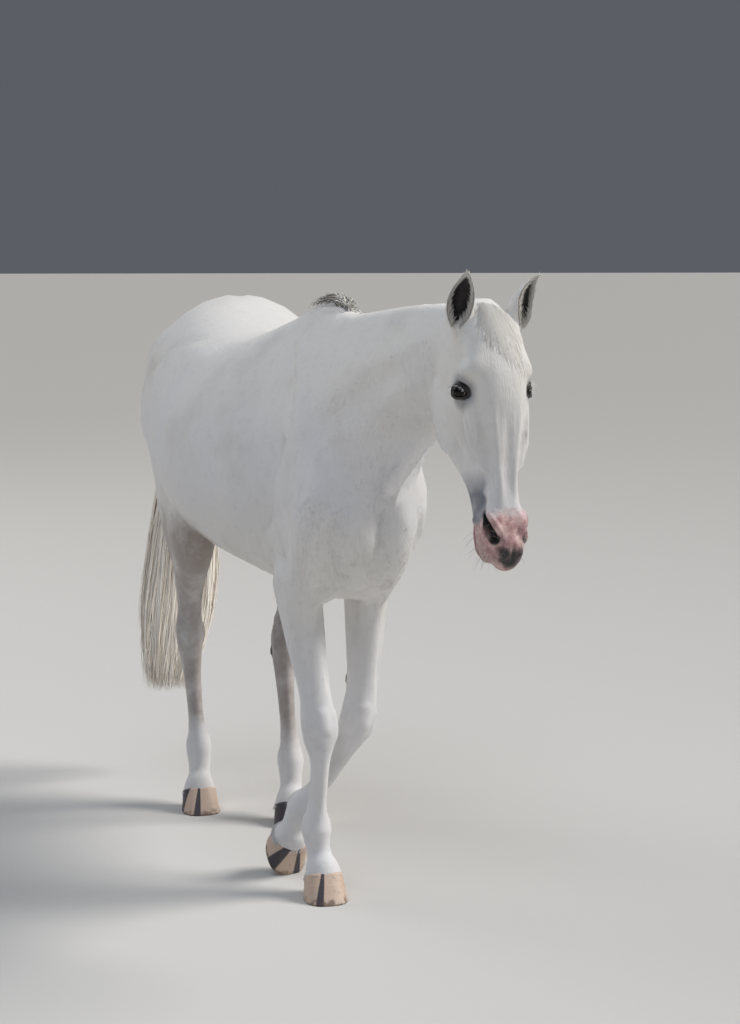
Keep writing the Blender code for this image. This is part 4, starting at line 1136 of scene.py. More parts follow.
    down = add(tree, "Mapping", {"Scale": (330, 330, 42)}, Vector=place).outputs[0]
    back = add(tree, "Mapping", {"Rotation": (math.radians(35), 0, 0), "Scale": (330, 42, 330)},
               Vector=place).outputs[0]
    streaks = blend(mark("lies_back"), noise(1.0, 2.0, down), noise(1.0, 2.0, back))
    streaks = maths("MULTIPLY", streaks, ramp(bare, 0.0, 1.0, 1.0, 0.15))
    wrinkles = maths("MULTIPLY", noise(260.0, 3.0), maths("MULTIPLY", bare, .8))
    height = maths("ADD", maths("ADD", streaks, wrinkles), maths("MULTIPLY", noise(22.0, 2.0), 1.6))
    bump = add(tree, "Bump", {"Strength": .55, "Distance": .0016}, Height=height)
    tree.links.new(bump.outputs["Normal"], shader.inputs["Normal"])
    return coat


SKIN_NODES = [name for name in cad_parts
              if not any(part in name for part in ("eye", "hoof", "mane", "tail", "forelock"))]
white_coat = coat_material("short_white_coat")
finished(skin, white_coat, "coat", *SKIN_NODES)

# ================================================================ the eyes
# Wet balls deep in their sockets, under the lids: a clear cornea that stands out of the ball over a
# near-black brown iris, with a long level pupil and little white. Wet, so smooth enough to mirror the lights.
glassy = bpy.data.materials.new("wet_brown_eye")
glassy.use_nodes = True
tree = glassy.node_tree
shader = tree.nodes["Principled BSDF"]
shader.inputs["Roughness"].default_value = 0.05
shader.inputs["IOR"].default_value = 1.376
shader.inputs["Specular IOR Level"].default_value = 0.35
ring_at = add(tree, "Attribute", {"attribute_name": "iris_ring"}).outputs["Fac"]
pupil_at = add(tree, "Attribute", {"attribute_name": "pupil_ring"}).outputs["Fac"]
place = add(tree, "TexCoord").outputs["Object"]
fibres = add(tree, "TexNoise", {"Scale": 420.0, "Detail": 3.0}, Vector=place).outputs["Fac"]
iris = add(tree, "Mix", {"data_type": "RGBA"}, _0=fibres)
iris.inputs[6].default_value = linear("#0b0705")
iris.inputs[7].default_value = linear("#1d120b")
edge = add(tree, "MapRange", {"From Min": .0140, "From Max": .0175}, Value=ring_at)
ball = add(tree, "Mix", {"data_type": "RGBA"}, _0=edge.outputs[0], _6=iris.outputs[2])
ball.inputs[7].default_value = linear("#2c221e")
hole = add(tree, "MapRange", {"From Min": .85, "From Max": 1.10}, Value=pupil_at)
seen = add(tree, "Mix", {"data_type": "RGBA"}, _0=hole.outputs[0], _7=ball.outputs[2])
seen.inputs[6].default_value = linear("#020203")
tree.links.new(seen.outputs[2], shader.inputs["Base Color"])

CORNEA_RADIUS = .0165
CORNEA_RISE = .0012         # how far the cornea stands out of the ball
for name, (centre, gaze, corner, upward) in zip(("right", "left"), eye_frames):
    bm = bmesh.new()
    bmesh.ops.create_uvsphere(bm, u_segments=64, v_segments=40, radius=EYE_RADIUS)
    turn = Matrix((Vector(corner), Vector(upward), Vector(gaze))).transposed()
    if turn.determinant() < 0:
        turn = Matrix((-Vector(corner), Vector(upward), Vector(gaze))).transposed()
    for vert in bm.verts:
        out = math.hypot(vert.co.x, vert.co.y)
        if vert.co.z > 0 and out < CORNEA_RADIUS:
            vert.co.z += CORNEA_RISE * (1 - (out / CORNEA_RADIUS) ** 2)
    bmesh.ops.transform(bm, matrix=Matrix.Translation(centre) @ turn.to_4x4(), verts=bm.verts)
    ball_obj = as_object(bm, name + "_eyeball")
    ball_obj.data.shade_smooth()
    q = np.array([vert.co for vert in ball_obj.data.vertices]) - centre
    a, b, w = q @ corner, q @ upward, q @ gaze
    write_marks(ball_obj, {"iris_ring": np.where(w > 0, np.hypot(a, b), .03),
                           "pupil_ring": np.where(w > 0, np.hypot(a / .0090, b / .0042), 9)})
    finished(ball_obj, glassy, "eye", "eye_" + name)


# ================================================================ the hooves
# Horn boxes, unshod: pale waxy horn with dark stripes that grow down from the coronet, faint growth
# rings, a hard rim at the ground, and inside it the hollow sole with its frog.
horn = bpy.data.materials.new("striped_hoof_horn")
horn.use_nodes = True
tree = horn.node_tree
shader = tree.nodes["Principled BSDF"]
shader.inputs["IOR"].default_value = 1.54
grown = add(tree, "UVMap", {"uv_map": "Horn"}).outputs[0]
place = add(tree, "TexCoord").outputs["Object"]
split = add(tree, "SeparateXYZ", Vector=grown)
long_way = add(tree, "Mapping", {"Scale": (1, .05, 1)}, Vector=grown)
tubules = add(tree, "TexNoise", {"Scale": 90.0, "Detail": 2.0}, Vector=long_way.outputs[0])
ragged = add(tree, "TexNoise", {"Scale": 9.0, "Detail": 3.0}, Vector=long_way.outputs[0])
inside = add(tree, "Attribute", {"attribute_name": "stripe_edge"}).outputs["Fac"]
edge = add(tree, "Math", {"operation": "MULTIPLY_ADD"}, _0=ragged.outputs["Fac"], _2=inside)
edge.inputs[1].default_value = .12
stripe = add(tree, "MapRange", {"interpolation_type": "SMOOTHSTEP", "From Min": .03, "From Max": .11},
             Value=edge.outputs[0])
base = add(tree, "Mix", {"data_type": "RGBA"}, _0=tubules.outputs["Fac"])
base.inputs[6].default_value = linear("#bfa390")
base.inputs[7].default_value = linear("#e0cbb8")
striped = add(tree, "Mix", {"data_type": "RGBA"}, _0=stripe.outputs[0], _6=base.outputs[2])
striped.inputs[7].default_value = linear("#423c44")
soil = add(tree, "TexNoise", {"Scale": 55.0, "Detail": 5.0}, Vector=place)
low = add(tree, "MapRange", {"From Min": .30, "From Max": .0, "To Min": .0, "To Max": .35},
          Value=split.outputs[1])
soiled = add(tree, "Math", {"operation": "ADD"}, _0=low.outputs[0], _1=soil.outputs["Fac"])
dirt = add(tree, "MapRange", {"From Min": .62, "From Max": .86, "To Max": .75}, Value=soiled.outputs[0])
muddy = add(tree, "Mix", {"data_type": "RGBA"}, _0=dirt.outputs[0], _6=striped.outputs[2])
muddy.inputs[7].default_value = linear("#5a4638")
underside = add(tree, "MapRange", {"From Min": 1.05, "From Max": 1.10}, Value=split.outputs[1])
sole = add(tree, "Mix", {"data_type": "RGBA"}, _0=underside.outputs[0], _6=muddy.outputs[2])
sole.inputs[7].default_value = linear("#3a302a")
tree.links.new(sole.outputs[2], shader.inputs["Base Color"])
gloss = add(tree, "MapRange", {"To Min": .32, "To Max": .62}, Value=soil.outputs["Fac"])
tree.links.new(gloss.outputs[0], shader.inputs["Roughness"])
rings_way = add(tree, "Mapping", {"Scale": (.6, 22, 1)}, Vector=grown)
growth = add(tree, "TexNoise", {"Scale": 1.0, "Detail": 1.0}, Vector=rings_way.outputs[0])
relief = add(tree, "Math", {"operation": "MULTIPLY_ADD"}, _0=tubules.outputs["Fac"], _2=growth.outputs["Fac"])
relief.inputs[1].default_value = .35
bump = add(tree, "Bump", {"Strength": .5, "Distance": .0014}, Height=relief.outputs[0])
tree.links.new(bump.outputs["Normal"], shader.inputs["Normal"])

# dark stripes of each hoof: (turn from the toe towards the horse's left, half width), in radians
STRIPES = dict(right_fore=[(-.38, .15)], right_hind=[(-1.5, .42), (-.28, .16)],
               left_fore=[(-1.0, .30), (.25, .16)], left_hind=[(-1.0, .80), (.7, .35)])
HOOF_WIDTH = 0.120
HOOF_SIDES = 72
SOLE_DEPTH = 0.009
for name, j in LEGS.items():
    # each ring: how far up the wall, how wide, and what part of the hoof it belongs to
    wall = [(0, spread, "sole") for spread in (.04, .30, .50, .66, .78)]
    wall += [(0, .86, "rim"), (0, .88, "edge"), (0, .985, "edge"), (.02, 1, "wall")]
    wall += [(k / 14, 1, "wall") for k in range(1, 14)]
    wall += [(.97, 1.0, "wall"), (1.0, .985, "wall"), (1.03, .90, "wall")]
    rings = []
    for up, spread, tag in wall:
        swell = .0005 * math.sin(up * 34) * (0 < up < 1)        # growth rings
        front, back = TOE_RUN * up, HOOF_LENGTH + HEEL_RUN * up
        half = HOOF_WIDTH / 2 - .008 * up
        flat = oval(half, half, (back - front) / 2, (back - front) / 2, 2.0, 2.6, HOOF_SIDES)[::-1]
        flat = flat * spread * (1 + swell / half)
        share = np.clip(.5 + flat[:, 1] / (back - front), 0, 1)
        high = up * (TOE_HEIGHT + (HEEL_HEIGHT - TOE_HEIGHT) * share)
        if tag == "sole":
            reach = np.clip((share - .30) / .60, 0, 1)
            frog = np.clip(1 - np.abs(flat[:, 0]) / (.004 + .024 * reach), 0, 1) ** .5 * (share > .32)
            cleft = np.clip(1 - np.abs(flat[:, 0]) / .005, 0, 1) * reach
            high = SOLE_DEPTH * (1 - .75 * frog + .5 * cleft) * np.ones(HOOF_SIDES)
        elif tag == "rim":
            high = np.full(HOOF_SIDES, SOLE_DEPTH * .8)
        rings.append(np.stack([flat[:, 0], (front + back) / 2 + flat[:, 1], high], axis=1))
    box = tube(name + "_horn", rings)
    mesh = box.data
    uv = mesh.uv_layers.new(name="Horn")
    local = np.array([vert.co for vert in mesh.vertices])
    middle = HOOF_LENGTH / 2 + .01
    turn = np.arctan2(local[:, 0], middle - local[:, 1])
    share = np.clip(local[:, 1] / HOOF_LENGTH, 0, 1)
    rise = local[:, 2] / (TOE_HEIGHT + (HEEL_HEIGHT - TOE_HEIGHT) * share)
    inside = [half - np.abs(turn - at) for at, half in STRIPES[name]]
    write_marks(box, {"stripe_edge": np.max(inside, axis=0)})
    seed = {"right_fore": 0.0, "left_fore": 3.3, "right_hind": 6.1, "left_hind": 9.7}[name]
    for face in mesh.polygons:
        below = face.normal.z < -.35
        for loop in face.loop_indices:
            k = mesh.loops[loop].vertex_index
            uv.data[loop].uv = (turn[k] + seed, 1.2 if below else min(rise[k], 1.0))
    # the tipped hoof's toe is pressed 3 mm flat on the ground
    lift = .003 if j["pitch"] else 0
    mesh.transform(Matrix.Translation((0, 0, -lift)) @ hoof_place(j))
    for vert in mesh.vertices:
        vert.co.z = max(vert.co.z, 0)
    mesh.shade_smooth()
    finished(box, horn, "hoof", name + "_hoof")

# ================================================================ hair, lock by lock
# Mane, forelock and tail are coarse hairs up to 1 m long that hang in locks from the crest, the poll and the
# dock. Every lock, and every tuft of the coat, is a closed and flattened spike of solid mesh that tapers to
# its tip.
def unwrap(places):
    """Where roots lie on the bake map: head, body, tail and each leg of the animal, rolled out flat."""
    at = in_head(places)
    x, y, z = places.T
    middle = np.interp(y, (-.7, -.3, .2, 1.2), (1.45, 1.25, 1.15, 1.25))
    turn = np.arctan2(x - .02, z - middle) / math.tau + .5
    u, v = turn, .62 + .36 * np.clip((y + .8) / 2.2, 0, 1)
    is_head = (at[:, 1] < .24) & (at[:, 2] > -.66) & (np.abs(at[:, 0]) < .16)
    round_head = np.arctan2(at[:, 0], .04 - at[:, 1]) / math.tau + .5
    u = np.where(is_head, .02 + .46 * round_head, u)
    v = np.where(is_head, .34 + .26 * np.clip((at[:, 2] + .66) / .82, 0, 1), v)
    gaps = []
    for j in LEGS.values():
        bones = np.array([j["knee"] if "knee" in j else j["hock"], j["fetlock"], (*j["toe"], 0)])
        gaps.append(np.linalg.norm(places[:, None, :2] - bones[None, :, :2], axis=2).min(axis=1))
    nearest = np.argmin(gaps, axis=0)
    for k, j in enumerate(LEGS.values()):
        bone = np.array(j["fetlock"])
        mine = (z < .86) & (nearest == k) & ~is_head
        round_leg = np.arctan2(x - bone[0], y - bone[1]) / math.tau + .5
        u = np.where(mine, (k + .04 + .92 * round_leg) / 4, u)
        v = np.where(mine, .01 + .31 * z / .86, v)
    is_tail = (y > 1.18) & (z < 1.52) & (np.abs(x) < .26) & (y - 1.18 > .25 * np.abs(x))
    u = np.where(is_tail, .52 + .46 * np.clip((x + .26) / .52, 0, 1), u)
    v = np.where(is_tail, .34 + .26 * np.clip(z / 1.55, 0, 1), v)
    return np.stack([u, v], axis=1)


def bundle(name, paths, facing, width, thick, bake_root=None, soft=.8):
    """Joined locks from paths (locks x steps x 3); facing is each lock's broad side's way out, and soft is
    how far the shading takes that way too, as hair that lies on hair does."""
    paths = np.asarray(paths, float)
    count, steps = paths.shape[:2]
    along = unit(np.gradient(paths, axis=1) + 1e-9)
    if np.ndim(facing) == 2:
        facing = np.asarray(facing, float)[:, None, :]
    facing = np.broadcast_to(facing, paths.shape)
    across = unit(np.cross(along, facing) + 1e-9)
    out = np.cross(across, along)
    width = np.broadcast_to(width, (count, steps))[..., None] / 2
    thick = np.broadcast_to(thick, (count, steps))[..., None] / 2
    ring = np.stack([paths + across * width, paths + out * thick,
                     paths - across * width, paths - out * thick], axis=2)
    body, tips = ring[:, :-1].reshape(count, -1, 3), paths[:, -1:]
    verts = np.concatenate([body, tips], axis=1)
    per = verts.shape[1]
    rows = steps - 1
    quads = []
    for i in range(rows - 1):
        for k in range(4):
            n = (k + 1) % 4
            quads.append((4 * i + k, 4 * i + 4 + k, 4 * i + 4 + n, 4 * i + n))
    last = 4 * (rows - 1)
    quads.append((0, 1, 2, 3))
    tris = [(last + k, per - 1, last + (k + 1) % 4) for k in range(4)]
    start = (np.arange(count) * per)[:, None, None]
    faces = (np.array(quads)[None] + start).reshape(-1, 4).tolist()
    faces += (np.array(tris)[None] + start).reshape(-1, 3).tolist()
    mesh = bpy.data.meshes.new(name)
    mesh.from_pydata(verts.reshape(-1, 3), [], faces)
    roots = unwrap(paths[:, 0] if bake_root is None else bake_root)
    step_at = np.concatenate([np.repeat(np.arange(rows), 4), [rows]]) / rows - .5
    side_at = np.concatenate([np.tile([0, 1, 2, 3], rows), [1.5]]) / 3 - .5
    patch = roots[:, None] + .003 * np.stack([side_at, step_at], axis=1)[None]
    loops = np.empty(len(mesh.loops), int)
    mesh.loops.foreach_get("vertex_index", loops)
    uv = mesh.uv_layers.new(name="OFBake")
    uv.data.foreach_set("uv", patch.reshape(-1, 2)[loops].astype(np.float32).ravel())
    obj = bpy.data.objects.new(name, mesh)
    bpy.context.scene.collection.objects.link(obj)
    mesh.shade_smooth()
    own = np.empty(len(mesh.vertices) * 3)
    mesh.vertices.foreach_get("normal", own)
    # a lock seen from behind is lit from behind
    outer = np.repeat(facing[:, :-1], 4, axis=1) * np.tile([1, 1, 1, -1], rows)[None, :, None]
    outer = np.concatenate([outer, facing[:, -1:]], axis=1).reshape(-1, 3)
    mesh.normals_split_custom_set_from_vertices(unit(own.reshape(-1, 3) * (1 - soft) + outer * soft + 1e-9))
    return obj


skin_tree = BVHTree.FromPolygons([tuple(p) for p in skin_at], [tuple(p.vertices) for p in skin.data.polygons])


def onto_skin(paths, lift):
    """Every point of the paths brought to its own height over the skin."""
    laid = np.empty_like(paths)
    lift = np.broadcast_to(lift, paths.shape[:2])
    for at in np.ndindex(paths.shape[:2]):
        hit, way, _, _ = skin_tree.find_nearest(paths[at])
        laid[at] = np.array(hit) + np.array(way) * lift[at]
    return laid


def per_lock(values, obj):
    """Spreads one value for each lock over that lock's points."""
    return np.repeat(values, len(obj.data.vertices) // len(values))


# Long hair: coarse, cream-white and a little translucent in life, so satin, with darker strands in it.
def long_hair_material(name, light, deep, grey):
    hair = bpy.data.materials.new(name)
    hair.use_nodes = True
    tree = hair.node_tree
    shader = tree.nodes["Principled BSDF"]
    shader.inputs["IOR"].default_value = 1.55
    shader.inputs["Sheen Weight"].default_value = .15
    place = add(tree, "TexCoord").outputs["Object"]
    tone = add(tree, "Attribute", {"attribute_name": "tone"}).outputs["Fac"]
    dark = add(tree, "Attribute", {"attribute_name": "grey"}).outputs["Fac"]
    down = add(tree, "Mapping", {"Scale": (420, 420, 14)}, Vector=place).outputs[0]
    strands = add(tree, "TexNoise", {"Scale": 1.0, "Detail": 2.0}, Vector=down).outputs["Fac"]
    share = add(tree, "Math", {"operation": "MULTIPLY_ADD"}, _0=strands, _2=tone)
    share.inputs[1].default_value = .55
    mixed = add(tree, "MapRange", {"From Min": .25, "From Max": 1.15}, Value=share.outputs[0])
    colour = add(tree, "Mix", {"data_type": "RGBA"}, _0=mixed.outputs[0])
    colour.inputs[6].default_value = linear(light)
    colour.inputs[7].default_value = linear(deep)
    final = add(tree, "Mix", {"data_type": "RGBA"}, _0=dark, _6=colour.outputs[2])
    final.inputs[7].default_value = linear(grey)
    tree.links.new(final.outputs[2], shader.inputs["Base Color"])
    rough = add(tree, "MapRange", {"To Min": .42, "To Max": .60}, Value=strands)
    tree.links.new(rough.outputs[0], shader.inputs["Roughness"])
    bump = add(tree, "Bump", {"Strength": .3, "Distance": .0012}, Height=strands)
    tree.links.new(bump.outputs["Normal"], shader.inputs["Normal"])
    return hair


cream_hair = long_hair_material("cream_tail_hair", "#fffaf1", "#f4eadb", "#bbb0a0")
white_hair = long_hair_material("white_mane_hair", "#fbf9f5", "#efe9df", "#57524f")


def long_hair(name, material, paths, facing, width, thick, tone, grey, *nodes, **how):
    """A finished bundle of long hair, with a tone and a greyness for each lock."""
    hair = bundle(name, paths, facing, width, thick, **how)
    write_marks(hair, {"tone": per_lock(tone, hair), "grey": per_lock(grey, hair)})
    finished(hair, material, "long_hair", *nodes)


SWELL = .02         # how far the swollen copy of a form stands off it


def ring_surface(bare, swollen_rings, row, column, lift):
    """Points over a lofted form at fractional rows and columns, lifted off it towards its swollen copy."""
    low, high = np.floor(row).astype(int), np.floor(column).astype(int)
    r, c = (row - low)[..., None], (column - high)[..., None]
    low = np.clip(low, 0, len(bare) - 2)

    def read(rings):
        a = rings[low, high % SIDES] * (1 - c) + rings[low, (high + 1) % SIDES] * c
        b = rings[low + 1, high % SIDES] * (1 - c) + rings[low + 1, (high + 1) % SIDES] * c
        return a * (1 - r) + b * r
    on, off_it = read(bare), read(swollen_rings)
    return on + (off_it - on) * (lift / SWELL)[..., None]


# --- mane: thick white hair that parts at the crest and falls to the left of the neck
rng = np.random.default_rng(11)
# rows run from inside the withers to the poll; column 0 is the neck's left side and column 8 its crest
crest, crest_out = neck_rings(), neck_rings(SWELL)
MANE_LOCKS, MANE_STEPS = 2450, 11
MANE_LOCK_WIDTH, MANE_LOCK_THICK = .0047, .0022
t = np.linspace(0, 1, MANE_STEPS)[None]
row0 = rng.uniform(10.5, 47.5, MANE_LOCKS)
layer = rng.random(MANE_LOCKS)
fall = np.interp(row0, (10.5, 18, 40, 47.5), (2.4, 7.2, 8.0, 5.0)) * rng.uniform(.72, 1.04, MANE_LOCKS)
start = 8.20 - .8 * rng.random(MANE_LOCKS)
column = start[:, None] - (fall + start - 8.6)[:, None] * t ** 1.1
drift = (rng.normal(-.3, .55, MANE_LOCKS)[:, None] * t
         + .22 * np.sin(rng.uniform(0, 6, MANE_LOCKS)[:, None] + t * 7))
lift = (-.004 + (.005 + .009 * layer[:, None]) * np.clip(t * 2.2, 0, 1)
        + .002 * np.sin(rng.uniform(0, 6, MANE_LOCKS)[:, None] + 8 * t) * t)
row = np.clip(row0[:, None] + drift, 9, 48.5)
paths = ring_surface(crest, crest_out, row, column, lift)
outward = ring_surface(crest, crest_out, row, column, lift + .01) - paths
paths = onto_skin(paths, lift)
wide = MANE_LOCK_WIDTH * (1 - .45 * t) * np.clip(t * 6 + .45, 0, 1)
wide = wide * rng.uniform(.5, 1.15, (MANE_LOCKS, 1))
long_hair("mane_hair", white_hair, paths, unit(outward), wide, MANE_LOCK_THICK,
          rng.random(MANE_LOCKS) ** 1.5, (rng.random(MANE_LOCKS) < .05) * .5, "mane", soft=.6)

# --- the mane's last tuft: grey, swept back over the withers
TUFT_LOCKS = 300
t = np.linspace(0, 1, 8)[None]
start = np.stack([rng.normal(.004, .008, TUFT_LOCKS), rng.uniform(-.13, .03, TUFT_LOCKS),
                  np.full(TUFT_LOCKS, 1.63)], axis=1)
sweep = unit(np.stack([rng.normal(.10, .38, TUFT_LOCKS), np.full(TUFT_LOCKS, 1.0),
                       np.zeros(TUFT_LOCKS)], axis=1))
long = rng.uniform(.05, .12, TUFT_LOCKS)[:, None]
paths = start[:, None] + sweep[:, None] * (long * t)[..., None]
paths[..., 0] += rng.normal(.004, .012, TUFT_LOCKS)[:, None] * t ** 2
high = rng.uniform(.008, .024, TUFT_LOCKS)[:, None]
lift = -.003 + high * np.sin(t * math.pi * rng.uniform(.6, .95, (TUFT_LOCKS, 1)))
paths = onto_skin(paths, lift)
upward = np.tile([0, 0, 1.0], (TUFT_LOCKS, 1))
long_hair("withers_tuft", white_hair, paths, upward, .0034 * (1 - .5 * t), .0014, rng.random(TUFT_LOCKS),
          (rng.random(TUFT_LOCKS) < .7) * rng.uniform(.35, .9, TUFT_LOCKS))

# --- forelock: thin cream wisps from the poll down the forehead, swept towards the left eye
# rows run down from the poll; column 8 is the middle of the face
brow, brow_out = head_rings(), head_rings(SWELL)
turn = np.array(head_frame)
for rings in (brow, brow_out):
    rings[:] = rings @ turn[:3, :3].T + turn[:3, 3]
FORELOCK_LOCKS = 640
WISP_WIDTH, WISP_THICK = .0022, .0012
t = np.linspace(0, 1, 12)[None]
sweep = rng.beta(1.6, 1.6, FORELOCK_LOCKS)
start_row = rng.uniform(.8, 5.0, FORELOCK_LOCKS)
run = np.interp(sweep, (0, .5, .8, 1), (8, 14, 20, 21)) * rng.uniform(.30, 1.05, FORELOCK_LOCKS)
column = (8.0 + (.5 - sweep)[:, None] * 2.6 + (.45 - sweep)[:, None] * 3.4 * t ** 1.3
          + rng.normal(0, .30, FORELOCK_LOCKS)[:, None] * (.5 + .6 * t)
          + .14 * np.sin(rng.uniform(0, 6, FORELOCK_LOCKS)[:, None] + 6 * t))
lift = -.0012 + rng.uniform(.0012, .0034, FORELOCK_LOCKS)[:, None] * np.clip(t * 4, 0, 1) * (1 - .5 * t)
row = start_row[:, None] + run[:, None] * t
paths = ring_surface(brow, brow_out, row, column, lift)
outward = ring_surface(brow, brow_out, row, column, lift + .01) - paths
paths = onto_skin(paths, lift)
wide = WISP_WIDTH * (1 - .55 * t) * rng.uniform(.45, 1.1, (FORELOCK_LOCKS, 1))
long_hair("forelock_hair", white_hair, paths, unit(outward), wide, WISP_THICK,
          rng.random(FORELOCK_LOCKS) * .8, (rng.random(FORELOCK_LOCKS) < .03) * .3, "forelock", soft=.9)

# --- tail: cream hair from the whole length of the dock, hanging straight to the cannons
# station along the tail, middle x, y, z, half-width, half-depth
TAIL = [
    (0, 0.00, 1.255, 1.490, .030, .030), (1, 0.00, 1.330, 1.450, .042, .040),
    (2, -0.02, 1.375, 1.330, .058, .046), (3, -0.05, 1.375, 1.120, .085, .050),
    (4, -0.080, 1.350, 0.880, .112, .050), (5, -0.105, 1.330, 0.640, .125, .045),
    (6, -0.130, 1.320, 0.450, .105, .035), (7, -0.150, 1.320, 0.280, .062, .018)]
TAIL_LOCKS, TAIL_STEPS = 2100, 13
TAIL_LOCK_WIDTH, TAIL_LOCK_THICK = .0080, .0024
t = np.linspace(0, 1, TAIL_STEPS)[None]
table = through(TAIL, 120)
station = table[:, 0]
root = rng.beta(1.1, 1.3, TAIL_LOCKS) * 1.9 + .15
end = np.clip(7.0 - rng.gamma(1.1, .62, TAIL_LOCKS), root + 1.4, 6.98)
angle = rng.uniform(0, math.tau, TAIL_LOCKS)
spread = np.sqrt(rng.uniform(.35, 1, TAIL_LOCKS))
u, v = np.cos(angle) * spread, np.sin(angle) * spread
where = root[:, None] + (end - root)[:, None] * t
middle = np.stack([np.interp(where, station, table[:, k]) for k in (1, 2, 3)], axis=2)
half_wide, half_deep = [np.interp(where, station, table[:, k]) for k in (4, 5)]
grow = np.clip(t * 3.2 + .25, 0, 1)
wave = .009 * np.sin(rng.uniform(0, 6, TAIL_LOCKS)[:, None] + t * rng.uniform(5, 13, TAIL_LOCKS)[:, None]) * t
wave = wave + rng.normal(0, .011, TAIL_LOCKS)[:, None] * t ** 2.5
paths = middle.copy()
paths[..., 0] += u[:, None] * half_wide * grow + wave
paths[..., 1] += v[:, None] * half_deep * grow + wave[:, ::-1] * .6
outward = np.stack([u * .35, v, np.full(TAIL_LOCKS, .35)], axis=1) + [0, .1, 0]
wide = TAIL_LOCK_WIDTH * np.clip(t * 5 + .35, 0, 1) * (1 - .55 * t ** 2)
wide = wide * rng.uniform(.35, 1.1, (TAIL_LOCKS, 1))
long_hair("tail_hair", cream_hair, paths, unit(outward), wide, TAIL_LOCK_THICK * (1 - .4 * t),
          rng.random(TAIL_LOCKS) ** 1.2, (rng.random(TAIL_LOCKS) < .04) * .35, "tail",
          bake_root=paths[:, 4], soft=.35)


# ================================================================ short coat where it breaks the form
# The summer coat is sleek hair that lies flat, and it stands off the body only at the fetlocks, the tops of
# the hooves, the breast, belly, jaw and rump. Its tufts are rooted on the skin, and wear the skin's material
# with the markings at their roots.
corners = np.array([p.vertices[:3] for p in skin.data.polygons])
spots = skin_at[corners].mean(axis=1)
ways = unit(skin_out[corners].mean(axis=1) + 1e-9)
areas = np.linalg.norm(np.cross(skin_at[corners[:, 1]] - skin_at[corners[:, 0]],
                                skin_at[corners[:, 2]] - skin_at[corners[:, 0]]), axis=1) / 2


def lie_of_coat(places, out):
    """The way the hair points: down the legs and face, back and down over the body."""
    at = in_head(places)
    z = places[:, 2]
    down = np.tile([0, .10, -1.0], (len(places), 1))
    back = np.tile([0, .80, -.60], (len(places), 1))
    share = (np.clip((z - .85) / .25, 0, 1) * np.clip((places[:, 1] + .5) / .3, 0, 1))[:, None]
    lie = down * (1 - share) + back * share
    is_head = ((at[:, 1] < .22) & (at[:, 2] < .03) & (np.abs(at[:, 0]) < .13))[:, None]
    lie = np.where(is_head, np.array(head_frame.to_3x3() @ Vector((0, .25, -1))), lie)
    lie = lie - out * np.sum(lie * out, axis=1, keepdims=True)
    return unit(lie + 1e-9)


def coat_tufts(name, density, count, long, wide, rise, seed, steps=4, scatter=.25):
    """Short tufts rooted where density, a field over the skin's faces, is high."""
    rng = np.random.default_rng(seed)
    odds = density * areas
    chosen = rng.choice(len(spots), count, p=odds / odds.sum())
    share = rng.dirichlet((1, 1, 1), count)
    root = (skin_at[corners[chosen]] * share[..., None]).sum(axis=1)
    out = ways[chosen]
    lie = lie_of_coat(root, out)
    lie = unit(lie + rng.normal(0, scatter, (count, 3)))
    lie = unit(lie - out * np.sum(lie * out, axis=1, keepdims=True))
    t = np.linspace(0, 1, steps)[None, :, None]
    length = (long * rng.uniform(.6, 1.25, count))[:, None, None]
    high = (rise * rng.uniform(.5, 1.3, count))[:, None, None]
    paths = root[:, None] + lie[:, None] * length * t + out[:, None] * (high * t - .0006 * (1 - t))
    profile = wide * np.linspace(1, .35, steps)[None] * rng.uniform(.7, 1.2, (count, 1))
    tufts = bundle(name, paths, out, profile, .0006, soft=1.0)
    marks = markings(root)
    marks["ear_edge"] = np.full(count, -.1)
    write_marks(tufts, {key: per_lock(values, tufts) for key, values in marks.items()})
    return finished(tufts, white_coat, "coat")


sx, sy, sz = spots.T
spot_head = in_head(spots)
on_head = (np.abs(spot_head[:, 0]) < .14) & (spot_head[:, 1] < .24) & (spot_head[:, 2] > -.66)
feather, fringe = np.zeros(len(spots)), np.zeros(len(spots))
for j in LEGS.values():
    kind = fore(j) if "elbow" in j else hind(j)
    for station, size in ((2.96, .045), (3.15, .040), (3.5, .035), (2.6, .035), (2.3, .03)):
        heel, _ = leg_point(kind, station, 270)
        feather = np.maximum(feather, sphere_share(spots, heel, size * .4, size))
    top = np.array(hoof_place(j).inverted())
    local = spots @ top[:3, :3].T + top[:3, 3]
    share = np.clip(local[:, 1] / (HOOF_LENGTH + HEEL_RUN), 0, 1)
    above = local[:, 2] - (TOE_HEIGHT + (HEEL_HEIGHT - TOE_HEIGHT) * share)
    here = (np.abs(local[:, 0]) < .09) & (local[:, 1] > -.02) & (local[:, 1] < .20)
    fringe = np.maximum(fringe, here * (above > -.001) * (above < .013))

belly = (ways[:, 2] < -.35) & (sz > .75) & (sz < 1.05) & (sy > -.2) & (sy < .75)
breast = (sy < -.20) & (sz > .82) & (sz < 1.12) & ~on_head
jaw = on_head & (spot_head[:, 1] > .12) & (spot_head[:, 2] < -.05)
throat = (~on_head) & (ways[:, 2] < -.1) & (sy < -.40) & (sz > 1.1)
rump = (sy > 1.05) & (sz > .80) & (ways[:, 1] > .3)
elbows = (sz > .80) & (sz < 1.0) & (np.abs(sx) < .22) & (sy > -.1) & (sy < .15)
coat_tufts("fetlock_hair", feather + 1e-9, 3000, .018, .0019, .0026, 21)
coat_tufts("coronet_hair", fringe + 1e-9, 4400, .014, .0018, .0032, 22, scatter=.08)
coat_tufts("breast_tufts", breast + 1e-9, 2600, .012, .0018, .0010, 23, scatter=.40)
coat_tufts("belly_tufts", (belly + throat + elbows) + 1e-9, 2600, .014, .0019, .0010, 24)
